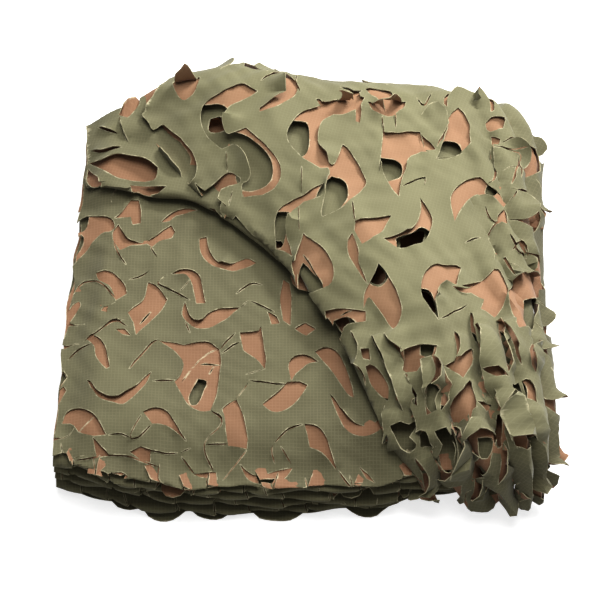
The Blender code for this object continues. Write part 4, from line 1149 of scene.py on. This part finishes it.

# The net's finish. Ripstop polyester, woven of fine dull yarn with a heavier thread every few millimetres,
# and coated: olive on one face and tan on the other. The cut edges are raw, and fray to a paler fuzz.

# The heavier threads are drawn up to 1 mm wide, which is coarser than real, so that they show. The fine yarn
# between them isn't drawn.

# Each face's darker tone is painted shade low in the net, and also random blotches.
OLIVE, OLIVE_PAINTED_SHADE_AND_BLOTCH, OLIVE_THREAD = "#716E51", "#58543C", "#8A8668"
TAN, TAN_PAINTED_SHADE_AND_BLOTCH, TAN_THREAD = "#906F52", "#7F5D42", "#A58569"
FRAY, FRAY_DARK = "#C2BA9B", "#6E6A50"
RIPSTOP_PITCH = 3.2 * MM
THREADS_SHOW = 0.36  # how much of its own colour a heavier thread shows
FRAY_WIDTH = 0.6  # mm from the cut


def linear(colour):
    """A colour of the sRGB hex kind as linear light."""
    value = [int(colour[i : i + 2], 16) / 255 for i in (1, 3, 5)]
    return [v / 12.92 if v <= 0.04045 else ((v + 0.055) / 1.055) ** 2.4 for v in value] + [1.0]


def add(tree, kind, settings=None, **links):
    """A node of that kind with its settings, and its inputs linked to sockets or set to values, by name."""
    made = tree.nodes.new("ShaderNode" + kind)
    for name, value in (settings or {}).items():
        setattr(made, name, value)
    for name, value in links.items():
        key = int(name[1:]) if name[0] == "i" and name[1:].isdigit() else name.replace("_", " ")
        if isinstance(value, bpy.types.NodeSocket):
            tree.links.new(value, made.inputs[key])
        else:
            made.inputs[key].default_value = value
    return made


def begun(name):
    """A new material, its node tree and its shader."""
    material = bpy.data.materials.new(name)
    material.use_nodes = True
    return material, material.node_tree, material.node_tree.nodes["Principled BSDF"]


def ripstop(name, ground, shade, thread, roughness, bump):
    """Coated ripstop. The ground's colour goes slowly between two tones: in random blotches, and with painted
    shade, darker in the low layers and paler in the layers on top. A grid of heavier threads stands up from
    it in its own tone, by the flat cloth's own measure in metres, and paler fray shows in tufts along the
    cuts."""
    material, tree, shader = begun(name)
    flat = add(tree, "UVMap", {"uv_map": "flat_cloth"}).outputs["UV"]
    place = add(tree, "TexCoord").outputs["Object"]

    # The grid: 1 on a thread, falling to 0 at 0.15 of the pitch from it.
    apart = add(tree, "SeparateXYZ", Vector=flat)
    lines = []
    for axis in "XY":
        turns = add(tree, "Math", {"operation": "DIVIDE"}, i0=apart.outputs[axis], i1=RIPSTOP_PITCH)
        saw = add(tree, "Math", {"operation": "PINGPONG"}, i0=turns.outputs[0], i1=0.5)
        line = add(tree, "MapRange", {"interpolation_type": "SMOOTHSTEP"}, Value=saw.outputs[0],
                   From_Min=0.02, From_Max=0.15, To_Min=1.0, To_Max=0.0)
        lines.append(line.outputs[0])
    grid = add(tree, "Math", {"operation": "MAXIMUM"}, i0=lines[0], i1=lines[1]).outputs[0]

    # The ground: its darker tone low down and its paler one from 62 to 112 mm up, which is painted shade, and
    # in random blotches some 70 mm across.
    slow = add(tree, "TexNoise", Vector=place, Scale=14.0, Detail=3.0, Roughness=0.55).outputs["Fac"]
    blotch = add(tree, "MapRange", Value=slow, From_Min=0.3, From_Max=0.72, To_Min=-0.2, To_Max=0.2)
    high = add(tree, "SeparateXYZ", Vector=place).outputs["Z"]
    # Painted shade: mostly the darker tone below 62 mm up, mostly the paler one above 112 mm.
    low = add(tree, "MapRange", Value=high, From_Min=0.062, From_Max=0.112, To_Min=0.9, To_Max=0.1)
    painted_shade_and_blotch = add(tree, "Math", {"operation": "ADD", "use_clamp": True}, i0=low.outputs[0],
                 i1=blotch.outputs[0])
    base = add(tree, "Mix", {"data_type": "RGBA"}, i0=painted_shade_and_blotch.outputs[0], i6=linear(ground), i7=linear(shade))

    # The heavier threads, broken up along the yarn: flecks of 1 mm by 4 mm.
    stretched = add(tree, "Mapping", Vector=flat, Scale=(900.0, 240.0, 1.0)).outputs[0]
    fleck = add(tree, "TexNoise", Vector=stretched, Scale=1.0, Detail=2.0).outputs["Fac"]
    threads = add(tree, "Math", {"operation": "MULTIPLY"}, i0=grid, i1=fleck).outputs[0]
    threads = add(tree, "Math", {"operation": "MULTIPLY"}, i0=threads, i1=THREADS_SHOW).outputs[0]
    woven = add(tree, "Mix", {"data_type": "RGBA"}, i0=threads, i6=base.outputs[2], i7=linear(thread))

    # The fray: within FRAY_WIDTH of a cut, in tufts some 7 mm across.
    cut = add(tree, "Attribute", {"attribute_name": "from_cut_edge"}).outputs["Fac"]
    cut = add(tree, "MapRange", Value=cut, From_Min=0.05, From_Max=FRAY_WIDTH, To_Min=0.75, To_Max=0.0)
    tufts = add(tree, "TexNoise", Vector=place, Scale=150.0, Detail=2.0).outputs["Fac"]
    tufts = add(tree, "MapRange", Value=tufts, From_Min=0.38, From_Max=0.62)
    fray = add(tree, "Math", {"operation": "MULTIPLY"}, i0=cut.outputs[0], i1=tufts.outputs[0]).outputs[0]
    frays = add(tree, "Mix", {"data_type": "RGBA"}, i0=fray, i6=woven.outputs[2], i7=linear(FRAY))
    tree.links.new(frays.outputs[2], shader.inputs["Base Color"])

    # The relief: crumples some 18 mm across, with the grid on them.
    crumple = add(tree, "TexNoise", Vector=place, Scale=55.0, Detail=4.0, Roughness=0.6, Distortion=0.6)
    height = add(tree, "Math", {"operation": "MULTIPLY_ADD"}, i0=grid, i1=0.012, i2=crumple.outputs["Fac"])
    relief = add(tree, "Bump", Height=height.outputs[0], Strength=bump, Distance=0.0008)
    tree.links.new(relief.outputs[0], shader.inputs["Normal"])
    shader.inputs["Roughness"].default_value = roughness
    shader.inputs["Sheen Weight"].default_value = 0.12
    shader.inputs["Sheen Roughness"].default_value = 0.6
    shader.inputs["Specular IOR Level"].default_value = 0.3
    return material


def frayed(name, colour, shade):
    """Raw cut edge: broken yarn ends, paler and rougher than the coated face, in flecks of 1 mm."""
    material, tree, shader = begun(name)
    place = add(tree, "TexCoord").outputs["Object"]
    fleck = add(tree, "TexNoise", Vector=place, Scale=900.0, Detail=2.0).outputs["Fac"]
    tone = add(tree, "Mix", {"data_type": "RGBA"}, i0=fleck, i6=linear(shade), i7=linear(colour)).outputs[2]
    tree.links.new(tone, shader.inputs["Base Color"])
    shader.inputs["Roughness"].default_value = 0.95
    shader.inputs["Specular IOR Level"].default_value = 0.1
    return material


# Each face's darker tone is painted shade on the low layers, and also random blotches.
mesh.materials.append(ripstop("ripstop_olive_face", OLIVE, OLIVE_PAINTED_SHADE_AND_BLOTCH, OLIVE_THREAD, 0.8, 0.5))
mesh.materials.append(ripstop("ripstop_tan_face", TAN, TAN_PAINTED_SHADE_AND_BLOTCH, TAN_THREAD, 0.75, 0.4))
mesh.materials.append(frayed("raw_cut_edge", FRAY, FRAY_DARK))
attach(net, "root")
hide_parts("camouflage_net")

# ------------------------------------------------------------------------------------------------------------
# The studio: a wide white floor, a large soft light over the net and behind it, and the photograph's view.
# The floor is white paper lit from below, as a photographer's table is: the camera sees it nearly white.

FLOOR_REACH = 6.0
FLOOR_GLOW = 0.72
AIR_LIGHT = 0.34
WHITE = (1.0, 1.0, 1.0, 1.0)

floor_mesh = bpy.data.meshes.new("studio_floor")
corners = [(x * FLOOR_REACH, y * FLOOR_REACH, 0) for x, y in ((-1, -1), (1, -1), (1, 1), (-1, 1))]
floor_mesh.from_pydata(corners, [], [(0, 1, 2, 3)])
floor = bpy.data.objects.new("studio_floor", floor_mesh)
bpy.context.scene.collection.objects.link(floor)
white, tree, paper = begun("lit_white_paper")
paper.inputs["Base Color"].default_value = (0.6, 0.6, 0.6, 1.0)
paper.inputs["Roughness"].default_value = 0.95
paper.inputs["Emission Color"].default_value = WHITE
seen = add(tree, "LightPath").outputs["Is Camera Ray"]
glow = add(tree, "Math", {"operation": "MULTIPLY"}, i0=seen, i1=FLOOR_GLOW).outputs[0]
tree.links.new(glow, paper.inputs["Emission Strength"])
floor_mesh.materials.append(white)
floor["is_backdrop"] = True

LIGHTS = [
    # name, place, size, watts
    ("overhead", (0.15, 0.3, 2.0), 1.6, 43.0),
    ("key", (1.0, 1.15, 1.25), 0.6, 52.0),
]
for name, place, size, watts in LIGHTS:
    data = bpy.data.lights.new(name, "AREA")
    data.shape, data.size, data.energy = "DISK", size, watts
    light = bpy.data.objects.new(name, data)
    light.location = place
    light.rotation_euler = (-Vector(place)).to_track_quat("-Z", "Y").to_euler()
    bpy.context.scene.collection.objects.link(light)
world = bpy.data.worlds.new("studio_air")
world.use_nodes = True
world.node_tree.nodes["Background"].inputs["Color"].default_value = WHITE
world.node_tree.nodes["Background"].inputs["Strength"].default_value = AIR_LIGHT
bpy.context.scene.world = world
bpy.context.scene.view_settings.view_transform = "Standard"
bpy.context.scene.view_settings.gamma = 0.84  # as deep as the photograph's shadows

VIEW_RISE = math.radians(53.0)
VIEW_TILT = math.radians(53.23)  # a little steeper, as the net stands a little above the picture's middle
VIEW_DISTANCE = 2.4
VIEW_HEIGHT = 0.05  # of the place that the distance is measured from
camera_data = bpy.data.cameras.new("camera")
camera_data.sensor_width = 36.0
camera_data.lens = 149.0
camera = bpy.data.objects.new("camera", camera_data)
camera.location = (
    -MIDDLE[0] * MM,
    -MIDDLE[1] * MM - VIEW_DISTANCE * math.cos(VIEW_RISE),
    VIEW_HEIGHT + VIEW_DISTANCE * math.sin(VIEW_RISE),
)
camera.rotation_euler = (math.pi / 2 - VIEW_TILT, 0.0, 0.0)
bpy.context.scene.collection.objects.link(camera)
bpy.context.scene.camera = camera

low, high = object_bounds()
